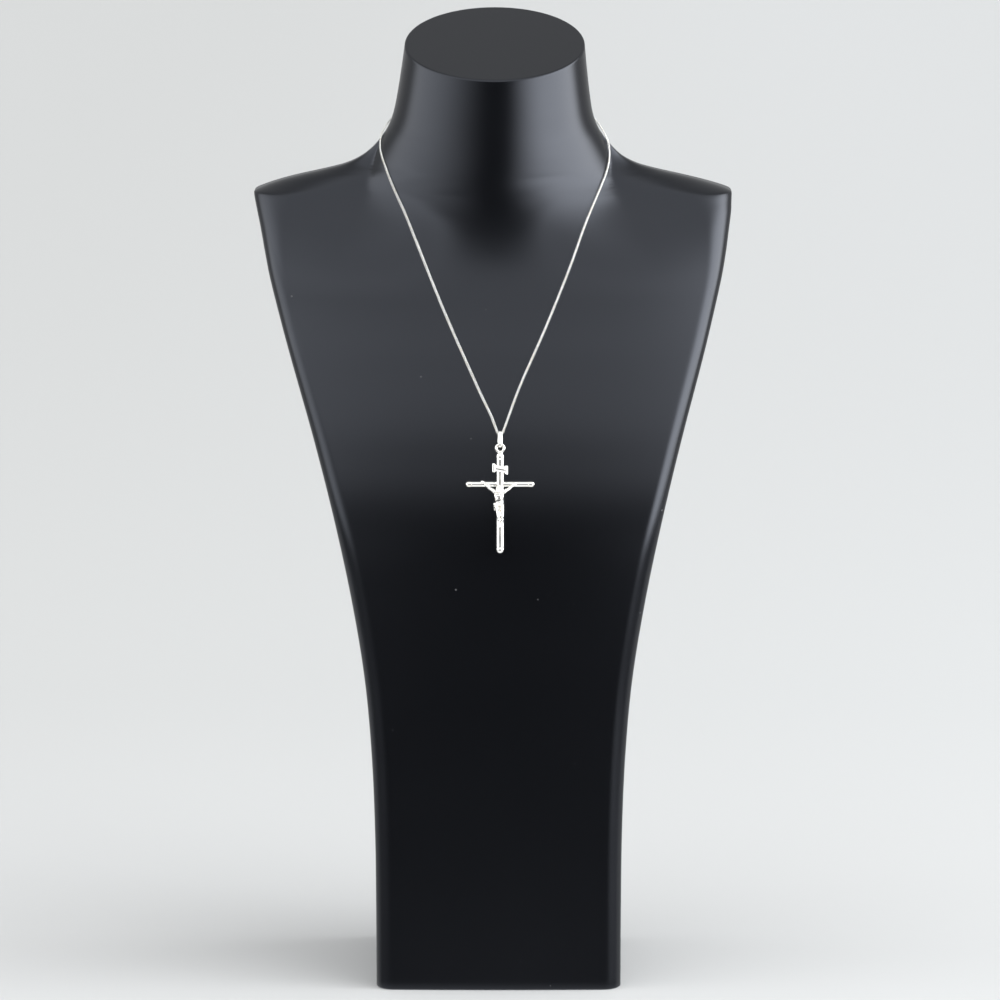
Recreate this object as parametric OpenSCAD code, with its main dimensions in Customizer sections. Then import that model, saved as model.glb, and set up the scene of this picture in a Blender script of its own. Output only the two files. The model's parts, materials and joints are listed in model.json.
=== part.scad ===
// Crucifix pendant on a fine chain, shown on a plain neck bust. Millimetres.
// +Z is up, the bust faces -Y, and the origin is the centre of the underside of its foot.

/* [Bust] */
// Height of the bust, to the back edge of the sloping neck cut
bust_h = 490; // [475:1:520]
// Height of the shoulder tips
shoulder_z = 400; // [385:1:410]
// Width across the shoulders
shoulder_w = 241; // [210:1:270]
// Width of the foot
base_w = 125; // [110:1:150]
// Depth of the foot, front to back
base_d = 92; // [84:1:110]
// Width of the neck at its cut
neck_w = 90.5; // [84:0.5:100]
// Depth of the neck at its cut
neck_d = 94; // [88:1:104]
// How far the neck's centre lies behind the foot's centre
neck_setback = 13; // [8:1:18]
// Slope of the neck cut, down towards the front, in degrees
cut_tilt = 16; // [0:1:22]
// How far the chest leans back between the foot and the shoulders
chest_setback = 31; // [24:1:36]
// How far the sides of the chest lie behind its middle
chest_bow = 15; // [8:1:18]
// How far the back leans back between the foot and the shoulders
back_lean = 6; // [0:1:12]
// How far the sides of the back lie in front of its middle
back_bow = 6; // [0:1:10]
// Sideways lean of the upper half
sway = 2.4; // [0:0.1:5]
// Radius of the long upright edges
edge_r = 8; // [4:0.5:10]
// Radius of the rims at the foot and at the neck cut
rim_r = 1.2; // [0.6:0.1:2]

/* [Chain] */
// Width of the chain
chain_d = 1.2; // [0.8:0.1:1.4]
// Space between the chain and the bust
chain_gap = 0.25; // [0.15:0.05:0.4]
// Radius of the chain's bend through the bail
bend_r = 1.6; // [1.5:0.1:2.2]
// Slope of the strands beside the bend, from upright, in degrees
strand_slope = 22; // [18:1:28]
// Lowest point of the chain, right of the middle
pendant_x = 0.8; // [-3:0.1:3]
// Height of the lowest point of the chain
pendant_z = 288; // [284:0.5:292]

/* [Clasp] */
// Length of the barrel
clasp_l = 8; // [6:0.5:10]
// Diameter of the barrel
clasp_d = 2.6; // [2.2:0.1:3.2]
// Outside diameter of the eyes at its ends
clasp_eye_d = 2.8; // [2.6:0.1:3.4]
// Wire diameter of the eyes
clasp_wire = 0.6; // [0.5:0.05:0.8]

/* [Bail] */
// Distance between the two bends of the bail
bail_l = 5.2; // [4.6:0.1:6.5]
// Thickness of its strip
bail_t = 0.45; // [0.3:0.05:0.6]
// Widest part of its strip
bail_w = 2.7; // [2.2:0.1:3.2]
// Width of its strip where it goes over the chain
bail_top_w = 1.6; // [1.2:0.1:1.7]
// Width of its strip where it goes through the ring
bail_foot_w = 1.6; // [1.2:0.1:1.7]
// Room round the chain inside the top bend
bail_play = 0.65; // [0.6:0.05:0.9]
// Room round the ring's wire inside the bottom bend
ring_play = 0.55; // [0.5:0.05:0.7]
// Space between the bail and the bust
bail_gap = 0.35; // [0.3:0.05:0.8]
// How much further than the chest the bail leans out, in degrees
bail_lift = 4.5; // [1:0.5:8]

/* [Cross] */
// Length of the upright
upright_l = 50.6; // [45:0.1:56]
// Diameter of the upright
upright_d = 3.8; // [3.4:0.1:3.9]
// Length of the crossbar
bar_l = 34.5; // [28:0.1:40]
// Diameter of the crossbar
bar_d = 2.9; // [2.4:0.1:3.2]
// Distance from the top of the upright to the middle of the crossbar
bar_drop = 16; // [14:0.1:19]
// How much wider the end caps are than their tubes
cap_step = 0.2; // [0.1:0.05:0.4]
// Length of the end caps
cap_l = 3; // [2.4:0.1:4]
// Outside diameter of the ring soldered to the top
ring_d = 5.3; // [5.2:0.1:6]
// Wire diameter of the ring
ring_wire = 1.5; // [1.2:0.1:1.5]
// How far the ring is let into the top of the upright
ring_sink = 0.65; // [0.5:0.05:0.9]
// Space between the hanging cross and the chest
rest_gap = 0.3; // [0.2:0.05:0.6]

/* [Titulus] */
// Length of the scroll
scroll_l = 8; // [6:0.1:10]
// Height of its sheet
scroll_h = 3.2; // [2.6:0.1:4]
// Thickness of its sheet
scroll_t = 0.6; // [0.4:0.1:0.9]
// Height of its rolled ends
roll_h = 4.4; // [3.4:0.1:5]
// Diameter of its rolled ends
roll_d = 1.8; // [1.4:0.1:2.2]
// How much lower its right end is than its left
scroll_fall = 1.1; // [0:0.1:1.6]
// Distance from the top of the upright to the middle of the scroll
scroll_drop = 8.3; // [7:0.1:9]

/* [Corpus] */
// Height of the figure, from crown to toes
corpus_h = 21.3; // [19:0.1:24]
// Reach from the middle of the cross to the end of the left hand
left_reach = 9.6; // [8:0.1:12]
// Reach from the middle of the cross to the end of the right hand
right_reach = 8.3; // [7:0.1:12]
// Distance from the middle of the crossbar down to the crown
crown_drop = 0.4; // [-1:0.1:1.5]
// Space between the figure, the scroll and the tubes behind them
seat_gap = 0.12; // [0.1:0.01:0.3]

/* [Hidden] */

// Facets of round work, steps round a quarter of the bust, and smoothing steps between its rows
round_fn = 48;
quarter_steps = 12;
row_steps = 2;
// Sides of the chain's tube, facets of the figure's limbs
tube_sides = 8;
limb_fn = 12;
// Half a degree and half a millimetre, for slopes taken by difference
probe_a = 0.5;
probe_h = 0.5;

neck_top = bust_h - neck_d / 2 * tan(cut_tilt);
shoulder_front = base_d / 2 - chest_setback;
shoulder_back = base_d / 2 + back_lean;
neck_front = neck_d / 2 - neck_setback;
neck_back = neck_d / 2 + neck_setback;
// The neck's rings begin to tilt this far above the shoulder tips
tilt_start = 15;
// The upper half leans over between these shares of the shoulders' height
sway_from = 0.5;
sway_to = 1;

// Body table. Height is a share of the shoulders' height, flare of the growth from foot to
// shoulder width, and the others of chest_setback, chest_bow with back_bow, back_lean and edge_r.
b_height = 0;
b_flare = 1;
b_setback = 2;
b_bow = 3;
b_lean = 4;
b_edge = 5;
body_rows = [
    [0.00, 0.000, 0.00, 0.10, 0.00, 1.00],
    [0.10, 0.000, 0.00, 0.12, 0.00, 1.00],
    [0.20, 0.005, 0.00, 0.15, 0.00, 1.00],
    [0.30, 0.033, 0.00, 0.20, 0.00, 1.00],
    [0.40, 0.093, 0.00, 0.27, 0.00, 1.00],
    [0.50, 0.193, 0.00, 0.36, 0.00, 1.00],
    [0.60, 0.329, 0.04, 0.46, 0.02, 1.00],
    [0.70, 0.503, 0.25, 0.58, 0.08, 1.00],
    [0.80, 0.691, 0.52, 0.72, 0.25, 0.95],
    [0.90, 0.862, 0.80, 0.87, 0.55, 0.75],
    [0.96, 0.945, 0.96, 0.96, 0.82, 0.55],
    [0.99, 0.987, 1.00, 1.00, 0.96, 0.42]
];
// Yoke table, from the shoulder tips up to the neck cut. Height is a share of that rise, flare of
// the growth from neck to shoulder width, rise of the way from chest and back to the neck's front
// and back, and round of the way from a flat slab to a full oval.
y_height = 0;
y_flare = 1;
y_rise = 2;
y_round = 3;
yoke_rows = [
    [0.01, 1.000, 0.01, 0.02],
    [0.03, 0.990, 0.03, 0.04],
    [0.05, 0.930, 0.05, 0.07],
    [0.07, 0.838, 0.08, 0.13],
    [0.09, 0.750, 0.11, 0.23],
    [0.12, 0.655, 0.16, 0.37],
    [0.15, 0.520, 0.22, 0.50],
    [0.18, 0.420, 0.29, 0.62],
    [0.22, 0.335, 0.38, 0.73],
    [0.27, 0.266, 0.49, 0.81],
    [0.33, 0.190, 0.61, 0.88],
    [0.40, 0.134, 0.73, 0.93],
    [0.48, 0.090, 0.83, 0.96],
    [0.57, 0.057, 0.90, 0.98],
    [0.70, 0.033, 0.96, 0.98],
    [0.85, 0.015, 0.99, 0.98],
    [1.00, 0.000, 1.00, 0.98]
];

// A section of the bust: height, half width, front and back depth, how far the sides of the front
// and back fall away, and the corners' size across and front to back
s_height = 0;
s_width = 1;
s_front = 2;
s_back = 3;
s_bow = 4;
s_back_bow = 5;
s_across = 6;
s_deep = 7;
s_back_deep = 8;

tip_r = edge_r * body_rows[len(body_rows) - 1][b_edge];
function between(low, high, share) = low + (high - low) * share;
function body_section(row) = [
    row[b_height] * shoulder_z,
    between(base_w, shoulder_w, row[b_flare]) / 2,
    base_d / 2 - chest_setback * row[b_setback],
    base_d / 2 + back_lean * row[b_lean],
    chest_bow * row[b_bow],
    back_bow * row[b_bow],
    edge_r * row[b_edge],
    edge_r * row[b_edge],
    edge_r * row[b_edge]
];
function yoke_section(row) =
    let (half = between(neck_w, shoulder_w, row[y_flare]) / 2,
         front = between(shoulder_front, neck_front, row[y_rise]),
         back = between(shoulder_back, neck_back, row[y_rise]))
    [
        between(shoulder_z, neck_top, row[y_height]),
        half,
        front,
        back,
        chest_bow * (1 - row[y_round]),
        back_bow * (1 - row[y_round]),
        between(tip_r, half, row[y_round]),
        between(tip_r, front + neck_setback, row[y_round]),
        between(tip_r, back - neck_setback, row[y_round])
    ];
rough = concat([for (row = body_rows) body_section(row)], [for (row = yoke_rows) yoke_section(row)]);
last = len(rough) - 1;

// A smooth curve through four rows, at share t between the second and the third
function blend(p0, p1, p2, p3, t) =
    (2 * p1 + (p2 - p0) * t + (2 * p0 - 5 * p1 + 4 * p2 - p3) * t * t
     + (3 * p1 - p0 - 3 * p2 + p3) * t * t * t) / 2;
function row_at(rows, i) =
    i < 0 ? 2 * rows[0] - rows[1]
    : i >= len(rows) ? 2 * rows[len(rows) - 1] - rows[len(rows) - 2]
    : rows[i];
function smoothed(rows, steps) = concat(
    [for (i = [0 : len(rows) - 2], k = [0 : steps - 1])
        blend(row_at(rows, i - 1), rows[i], rows[i + 1], row_at(rows, i + 2), k / steps)],
    [rows[len(rows) - 1]]);
sections = smoothed(rough, row_steps);

// The section at any height, by straight lines between the sections
function column(i) = [for (s = sections) [s[s_height], s[i]]];
columns = [for (i = [0 : s_back_deep]) column(i)];
function section_at(h) = [for (i = [0 : s_back_deep]) i == s_height ? h : lookup(h, columns[i])];
function inset(s, by) =
    [for (i = [0 : s_back_deep]) i == s_width || i == s_front || i == s_back ? s[i] - by : s[i]];
function raised(s, h) = [for (i = [0 : s_back_deep]) i == s_height ? h : s[i]];

function ease(t) = let (u = min(max(t, 0), 1)) u * u * (3 - 2 * u);
function sway_at(h) = -sway * ease((h / shoulder_z - sway_from) / (sway_to - sway_from));
function tilt_at(h) = tan(cut_tilt) * ease((h - shoulder_z - tilt_start)
                                           / (neck_top - shoulder_z - tilt_start));

// A point of a section. The angle is 0 at the middle of the front, 90 at the right side and 180
// at the middle of the back. The front half and the back half are bowed lines with oval corners.
function bust_point(s, angle, on_front) =
    let (x = s[s_width] * sin(angle),
         share = x / s[s_width],
         into = min(max((abs(x) - s[s_width] + s[s_across]) / s[s_across], 0), 1),
         fall = 1 - sqrt(1 - into * into),
         y = on_front ? s[s_bow] * share * share - s[s_front] + s[s_deep] * fall
                      : s[s_back] - s[s_back_bow] * share * share - s[s_back_deep] * fall)
    [x + sway_at(s[s_height]), y, s[s_height] + tilt_at(s[s_height]) * (y - neck_setback)];
function skin(h, angle) = bust_point(section_at(h), angle, abs(angle) <= 90);
function unit(v) = v / norm(v);
function skin_normal(h, angle) =
    unit(cross(skin(h, angle + probe_a) - skin(h, angle - probe_a),
               skin(h + probe_h, angle) - skin(h - probe_h, angle)));
// The angle that lies a given way across the bust, on its front or behind
function across_angle(x, h, behind = false) =
    let (share = (x - sway_at(h)) / lookup(h, columns[s_width]),
         angle = asin(min(max(share, -1), 1)))
    behind ? sign(x) * 180 - angle : angle;

// The two rims are quarter rounds, in three rings each
rim_steps = [[0, 1], [1 - sin(45), 1 - sin(45)], [1, 0]];
foot_rings = [for (r = [rim_steps[0], rim_steps[1]]) raised(inset(sections[0], r[1] * rim_r), r[0] * rim_r)];
cut_rings = [for (r = [rim_steps[1], rim_steps[0]])
    raised(inset(sections[len(sections) - 1], r[1] * rim_r), neck_top - r[0] * rim_r)];
bust_sections = concat(
    foot_rings,
    [raised(sections[0], rim_r)],
    [for (i = [1 : len(sections) - 2]) sections[i]],
    [raised(sections[len(sections) - 1], neck_top - rim_r)],
    cut_rings);
quarter = [for (k = [-quarter_steps : quarter_steps]) 90 * k / quarter_steps];
ring_count = 2 * len(quarter);
function bust_ring(s) = concat(
    [for (a = quarter) bust_point(s, a, true)],
    [for (a = quarter) bust_point(s, -a, false)]);

// Side faces between closed rings of n points each, as triangles
function side_faces(rings, n) = [for (i = [0 : rings - 2], k = [0 : n - 1], half = [0, 1])
    let (a = i * n + k, b = i * n + (k + 1) % n)
    half == 0 ? [a, a + n, b] : [b, a + n, b + n]];
function end_faces(rings, n) = [
    [for (k = [0 : n - 1]) k],
    [for (k = [n - 1 : -1 : 0]) (rings - 1) * n + k]];
module loft(rings) {
    n = len(rings[0]);
    polyhedron(points = [for (ring = rings, p = ring) p],
               faces = concat(side_faces(len(rings), n), end_faces(len(rings), n)), convexity = 8);
}

module bust() {
    color("#2b2c30") loft([for (s = bust_sections) bust_ring(s)]);
}

// Where the bail hangs on the chain, and the ring in the bail
chain_r = chain_d / 2;
bail_in = chain_r + bail_play;
bail_out = bail_in + bail_t;
bail_foot_in = ring_wire / 2 + ring_play;
bail_foot_out = bail_foot_in + bail_t;
function chest(h) = skin(h, across_angle(pendant_x, h));
bail_lean = bail_lift + atan((chest(pendant_z)[1] - chest(pendant_z - bail_l)[1]) / bail_l);
top_hinge = [pendant_x, chest(pendant_z)[1] - bail_out - bail_gap, pendant_z];
low_hinge = top_hinge - bail_l * [0, sin(bail_lean), cos(bail_lean)];

// Chain route, from the nape round the right of the neck and down to the bail, then up the left
// and back to the nape: across, height, whether it is behind the bust's widest line, and how far
// it stands off the skin
r_across = 0;
r_height = 1;
r_behind = 2;
r_off = 3;
chain_route = [
    [[13.5, 441.5, 1, 0], [21.5, 441, 1, 0], [29, 440, 1, 0], [35.5, 439, 1, 0], [41, 438, 1, 0],
     [45.5, 436.5, 1, 0.2], [48.5, 435, 1, 0.6], [51, 433, 1, 1], [54, 431, 1, 1],
     [56, 428.5, 0, 0.4], [56, 424.5, 0, 0], [55.5, 422, 0, 0], [55, 419, 0, 0],
     [54, 416, 0, 0], [53, 413, 0, 0.2], [52, 410, 0, 0.2], [49.5, 404, 0, 0], [47.5, 398, 0, 0],
     [45, 391, 0, 0], [36.5, 370, 0, 0], [28, 350, 0, 0], [19.5, 330, 0, 0], [11, 310, 0, 0],
     [5, 296, 0, 0]],
    [[-3.5, 296, 0, 0], [-10, 310, 0, 0], [-19, 330, 0, 0], [-28, 350, 0, 0], [-37.5, 370, 0, 0],
     [-47.5, 391, 0, 0], [-50, 398, 0, 0], [-52.5, 404, 0, 0], [-54.5, 410, 0, 0.2],
     [-56, 413, 0, 0.2], [-57, 416, 0, 0], [-58, 419, 0, 0], [-58.5, 422, 0, 0],
     [-59, 424.5, 0, 0], [-59.5, 427, 0, 0], [-59, 429, 0, 0], [-57.5, 431, 1, 0],
     [-55.5, 433, 1, 0], [-53, 435, 1, 0], [-50, 436.5, 1, 0], [-45.5, 438, 1, 0],
     [-40, 439, 1, 0], [-34, 440, 1, 0], [-26, 441, 1, 0], [-18.5, 441.5, 1, 0]]
];
nape_h = 442;
// Stretches longer than this take rings in between
ring_step = 10;
// The strands rise off the chest towards the bail over this height
lift_run = 14;
lift_top = norm(top_hinge - chest(pendant_z)) - chain_r - chain_gap;
function lift(h) = lift_top * pow(max(1 - (h - pendant_z) / lift_run, 0), 2);

// A point of the chain's middle line, with the direction that faces out of the bust there
function on_skin(h, angle, off) =
    let (n = skin_normal(h, angle)) [skin(h, angle) + n * (chain_r + chain_gap + off), n];
function laid(p) = on_skin(p[1], p[0], lift(p[1]) + p[2]);
function laid_out(rows) =
    let (keys = [for (row = rows)
             [across_angle(row[r_across], row[r_height], row[r_behind] == 1),
              row[r_height], row[r_off]]])
    concat([for (i = [0 : len(keys) - 2])
        let (parts = max(1, round(norm(laid(keys[i + 1])[0] - laid(keys[i])[0]) / ring_step)))
        for (k = [0 : parts - 1])
            laid(blend(row_at(keys, i - 1), keys[i], keys[i + 1], row_at(keys, i + 2), k / parts))],
        [laid(keys[len(keys) - 1])]);
bend_out = skin_normal(pendant_z, across_angle(pendant_x, pendant_z));
bend_up = cross(bend_out, [1, 0, 0]);
bend_steps = 3;
bend = [for (k = [bend_steps : -1 : -bend_steps])
    let (a = (90 - strand_slope) * k / bend_steps)
    [top_hinge + bend_r * (sin(a) * [1, 0, 0] + (1 - cos(a)) * bend_up), bend_out]];

// The clasp lies across the nape, and the chain stops short of its eyes
clasp_mid = on_skin(nape_h, 180, clasp_d / 2 - chain_r)[0];
eye_r = (clasp_eye_d - clasp_wire) / 2;
function chain_end(side) =
    [clasp_mid + [side * (clasp_l / 2 + clasp_eye_d + chain_gap), 0, 0], [0, 1, 0]];
chain_path = concat([chain_end(1)], laid_out(chain_route[0]), bend, laid_out(chain_route[1]),
                    [chain_end(-1)]);

module chain() {
    count = len(chain_path);
    color("#d8d6d0") loft([for (i = [0 : count - 1])
        let (ahead = chain_path[min(i + 1, count - 1)][0],
             behind = chain_path[max(i - 1, 0)][0],
             along = unit(ahead - behind),
             out = unit(chain_path[i][1] - along * (chain_path[i][1] * along)),
             beside = cross(along, out))
        [for (k = [0 : tube_sides - 1])
            let (a = 360 * (k + 0.5) / tube_sides)
            chain_path[i][0] + chain_r * (sin(a) * out + cos(a) * beside)]]);
}

module clasp() {
    color("#d8d6d0") translate(clasp_mid) {
        rotate([0, 90, 0]) cylinder(d = clasp_d, h = clasp_l, center = true, $fn = round_fn);
        for (side = [-1, 1])
            translate([side * (clasp_l / 2 + eye_r), 0, 0]) rotate([90, 0, 0])
                ring_of_wire(eye_r, clasp_wire);
    }
}

module ring_of_wire(middle_r, wire) {
    rotate_extrude($fn = round_fn) translate([middle_r, 0]) circle(d = wire, $fn = round_fn);
}

function backwards(list) = [for (i = [len(list) - 1 : -1 : 0]) list[i]];
// Side view of the bail: a loop of strip round the chain above and the ring's wire below
module bail_loop(top_r, foot_r) {
    circle(r = top_r, $fn = round_fn);
    translate([0, -bail_l]) circle(r = foot_r, $fn = round_fn);
    polygon([[-top_r, 0], [-foot_r, -bail_l], [foot_r, -bail_l], [top_r, 0]]);
}

// Front view of the bail, one side, as shares: across from the narrower end's half width to the
// widest, and down from the top bend's centre to the foot bend's
face_across = 0;
face_down = 1;
face_top = [[0.00, -0.09], [0.55, 0.03], [0.75, 0.35]];
face_foot = [[1.00, 0.78], [0.85, 0.88], [0.30, 0.97], [0.00, 1.04]];
module bail_face() {
    half = bail_w / 2;
    past = 2 * bail_out;
    right = concat(
        [[bail_top_w / 2, past]],
        [for (p = face_top) [between(bail_top_w / 2, half, p[face_across]), -bail_l * p[face_down]]],
        [for (p = face_foot) [between(bail_foot_w / 2, half, p[face_across]), -bail_l * p[face_down]]],
        [[bail_foot_w / 2, -bail_l - past]]);
    polygon(concat(right, [for (p = backwards(right)) [-p[0], p[1]]]));
}

module bail() {
    color("#dedcd6") translate(top_hinge) rotate([-bail_lean, 0, 0]) intersection() {
        rotate([90, 0, 90]) linear_extrude(height = 2 * bail_w, center = true) difference() {
            bail_loop(bail_out, bail_foot_out);
            bail_loop(bail_in, bail_foot_in);
        }
        rotate([90, 0, 0]) linear_extrude(height = 4 * bail_out, center = true) bail_face();
    }
}

// The cross hangs from the low hinge: its own frame has the ring's upper wire at the origin
ring_r = (ring_d - ring_wire) / 2;
upright_top = -2 * ring_r - ring_wire / 2 + ring_sink;
upright_back = (upright_d + cap_step) / 2;
bar_z = upright_top - bar_drop;
// It leans out just far enough that the back of the upright clears the chest all the way down
lean_step = 2.5;
function lean_for(down, guess) =
    let (z = low_hinge[2] - down * cos(guess) - upright_back * sin(guess),
         y = chest(z)[1] - rest_gap)
    asin((low_hinge[1] + upright_back * cos(guess) - y) / down);
function lean_pass(guess) = max([for (down = [-upright_top + upright_back : lean_step : upright_l])
    lean_for(down, guess)]);
cross_lean = lean_pass(lean_pass(lean_pass(bail_lean)));
module on_cross() {
    translate(low_hinge) rotate([-cross_lean, 0, 0]) children();
}

// A tube with domed caps on both ends, centred, along Z
module capped_tube(d, l) {
    cap_r = d / 2 + cap_step / 2;
    cylinder(d = d, h = l - 2 * cap_r, center = true, $fn = round_fn);
    for (side = [-1, 1]) {
        translate([0, 0, side * (l / 2 - cap_r)]) sphere(r = cap_r, $fn = round_fn);
        translate([0, 0, side * (l / 2 - (cap_l + cap_r) / 2)])
            cylinder(r = cap_r, h = cap_l - cap_r, center = true, $fn = round_fn);
    }
}

module cross() {
    color("#e4e2dc") on_cross() {
        translate([0, 0, -ring_r]) rotate([90, 0, 0]) ring_of_wire(ring_r, ring_wire);
        translate([0, 0, upright_top - upright_l / 2]) capped_tube(upright_d, upright_l);
        translate([0, 0, bar_z]) rotate([0, 90, 0]) capped_tube(bar_d, bar_l);
    }
}

module titulus() {
    back_y = -upright_d / 2 - seat_gap;
    half = (scroll_l - roll_d) / 2;
    color("#e4e2dc") on_cross() translate([0, back_y, upright_top - scroll_drop]) {
        rotate([90, 0, 0]) linear_extrude(height = scroll_t)
            polygon([for (p = [[-1, -1], [1, -1], [1, 1], [-1, 1]])
                [p[0] * half, (p[1] * scroll_h - p[0] * scroll_fall) / 2]]);
        for (side = [-1, 1])
            translate([side * half, -roll_d / 2, -side * scroll_fall / 2])
                cylinder(d = roll_d, h = roll_h, center = true, $fn = round_fn);
    }
}

// Figure table. Places are shares of the figure's height: across, down from the crown and
// forward from its back. Each row has two ends with their radii, and they are joined round.
crown_z = bar_z - crown_drop;
figure_back = -upright_d / 2 - seat_gap;
hand_back = -bar_d / 2 - seat_gap;
f_from = 0;
f_from_r = 1;
f_to = 2;
f_to_r = 3;
figure_rows = [
    [[-0.022, 0.064, 0.098], 0.063, [-0.034, 0.128, 0.112], 0.046],
    [[-0.015, 0.070, 0.072], 0.066, [-0.018, 0.155, 0.060], 0.056],
    [[-0.105, 0.168, 0.050], 0.048, [0.075, 0.168, 0.050], 0.048],
    [[-0.078, 0.215, 0.060], 0.066, [-0.070, 0.330, 0.058], 0.054],
    [[0.025, 0.215, 0.060], 0.066, [0.030, 0.330, 0.058], 0.054],
    [[-0.020, 0.310, 0.056], 0.066, [-0.012, 0.440, 0.055], 0.068],
    [[-0.070, 0.330, 0.056], 0.054, [-0.058, 0.460, 0.058], 0.062],
    [[0.030, 0.330, 0.056], 0.054, [0.028, 0.460, 0.058], 0.062],
    [[-0.058, 0.475, 0.062], 0.068, [0.024, 0.475, 0.062], 0.068],
    [[-0.045, 0.490, 0.066], 0.070, [0.022, 0.560, 0.066], 0.070],
    [[-0.125, 0.430, 0.050], 0.040, [-0.120, 0.560, 0.046], 0.034],
    [[-0.045, 0.530, 0.070], 0.062, [-0.035, 0.735, 0.105], 0.050],
    [[0.035, 0.530, 0.066], 0.060, [0.042, 0.725, 0.092], 0.050],
    [[-0.035, 0.735, 0.105], 0.049, [0.000, 0.915, 0.055], 0.034],
    [[0.042, 0.725, 0.092], 0.048, [0.022, 0.920, 0.046], 0.034],
    [[0.002, 0.915, 0.055], 0.036, [0.010, 0.974, 0.086], 0.026]
];
// Arms: shoulder to elbow to wrist to palm, with their sizes as shares of the figure's height
shoulder_at = [0.015, 0.165, 0.050];
shoulder_out = 0.100;
shoulder_size = 0.048;
elbow_share = 0.50;
elbow_sag = 0.012;
elbow_size = 0.042;
wrist_share = 0.88;
wrist_size = 0.029;
palm_size = 0.031;
palm_rise = 0.040;

function figure_point(p) = [p[0] * corpus_h, figure_back - p[2] * corpus_h, crown_z - p[1] * corpus_h];
module limb(from, from_r, to, to_r) {
    hull() {
        translate(from) sphere(r = from_r, $fn = limb_fn);
        translate(to) sphere(r = to_r, $fn = limb_fn);
    }
}

module arm(side, reach, rise) {
    from = figure_point([side * shoulder_out - shoulder_at[0], shoulder_at[1], shoulder_at[2]]);
    palm_r = palm_size * corpus_h;
    palm = [side * (reach - palm_r), hand_back - palm_r, bar_z + rise];
    elbow = between(from, palm, elbow_share) - [0, 0, elbow_sag * corpus_h];
    wrist = between(from, palm, wrist_share);
    limb(from, shoulder_size * corpus_h, elbow, elbow_size * corpus_h);
    limb(elbow, elbow_size * corpus_h, wrist, wrist_size * corpus_h);
    limb(wrist, wrist_size * corpus_h, palm, palm_r);
}

// What may be filled in front of the upright, and further back in front of the bar beside it
module figure_room() {
    room = 2 * corpus_h;
    translate([0, figure_back - room / 2, bar_z]) cube([room, room, 2 * room], center = true);
    for (side = [-1, 1])
        translate([side * (room / 2 + upright_d / 2 + seat_gap), hand_back - room / 2, bar_z])
            cube(room, center = true);
}

module corpus() {
    color("#e8e4da") on_cross() intersection() {
        union() {
            for (row = figure_rows)
                limb(figure_point(row[f_from]), row[f_from_r] * corpus_h,
                     figure_point(row[f_to]), row[f_to_r] * corpus_h);
            arm(-1, left_reach, palm_rise * corpus_h);
            arm(1, right_reach, 0);
        }
        figure_room();
    }
}

bust();
chain();
clasp();
bail();
cross();
titulus();
corpus();
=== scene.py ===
import json
import math
import bpy
import numpy as np
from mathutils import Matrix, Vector
from mathutils.bvhtree import BVHTree


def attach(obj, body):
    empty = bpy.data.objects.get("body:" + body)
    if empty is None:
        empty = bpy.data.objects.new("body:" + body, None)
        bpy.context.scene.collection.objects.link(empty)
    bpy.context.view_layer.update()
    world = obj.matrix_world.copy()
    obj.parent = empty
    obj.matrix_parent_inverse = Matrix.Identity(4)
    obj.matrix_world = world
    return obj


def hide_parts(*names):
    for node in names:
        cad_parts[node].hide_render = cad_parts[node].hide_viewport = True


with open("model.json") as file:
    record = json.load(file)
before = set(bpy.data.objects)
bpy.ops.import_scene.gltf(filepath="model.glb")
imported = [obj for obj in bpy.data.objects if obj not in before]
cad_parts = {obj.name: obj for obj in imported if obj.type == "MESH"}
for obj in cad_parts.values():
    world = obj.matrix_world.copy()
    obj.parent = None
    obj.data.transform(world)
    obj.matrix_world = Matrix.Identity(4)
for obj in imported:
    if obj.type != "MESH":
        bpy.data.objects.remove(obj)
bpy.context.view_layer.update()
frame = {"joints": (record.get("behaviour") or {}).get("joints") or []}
mm = 0.001  # shapes below are worked out in millimetres and put into metres with their mesh
rng = np.random.default_rng(7)


# Small sums on whole arrays

def unit(v):
    # Each vector divided by its own length
    return v / np.linalg.norm(v, axis=-1, keepdims=True)


def ease(t):
    # Nought to one with level ends: three times the square less twice the cube
    t = np.clip(t, 0, 1)
    return t * t * (3 - 2 * t)


def between(low, high, share):
    # Low and a share of the way from it to high
    return low + (high - low) * share


def rounded(keys, steps):
    # A Catmull-Rom curve through the rows of keys, with steps points to a span. The end spans use
    # a row beyond the end that mirrors the row inside it.
    keys = np.asarray(keys, float)
    full = np.vstack([2 * keys[0] - keys[1], keys, 2 * keys[-1] - keys[-2]])
    t = (np.arange(steps) / steps)[None, :, None]
    a, b, c, d = (full[i:len(full) - 3 + i, None, :] for i in range(4))
    spans = (2 * b + (c - a) * t + (2 * a - 5 * b + 4 * c - d) * t ** 2
             + (3 * b - a - 3 * c + d) * t ** 3) / 2
    return np.vstack([spans.reshape(-1, keys.shape[1]), keys[-1]])


def spaced(points, count):
    # The same polyline with count points at equal steps along it
    along = np.concatenate([[0], np.cumsum(np.linalg.norm(np.diff(points[:, :3], axis=0), axis=1))])
    at = np.linspace(0, along[-1], count)
    return np.stack([np.interp(at, along, points[:, i]) for i in range(points.shape[1])], 1)


# Meshes from rings of points

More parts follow.
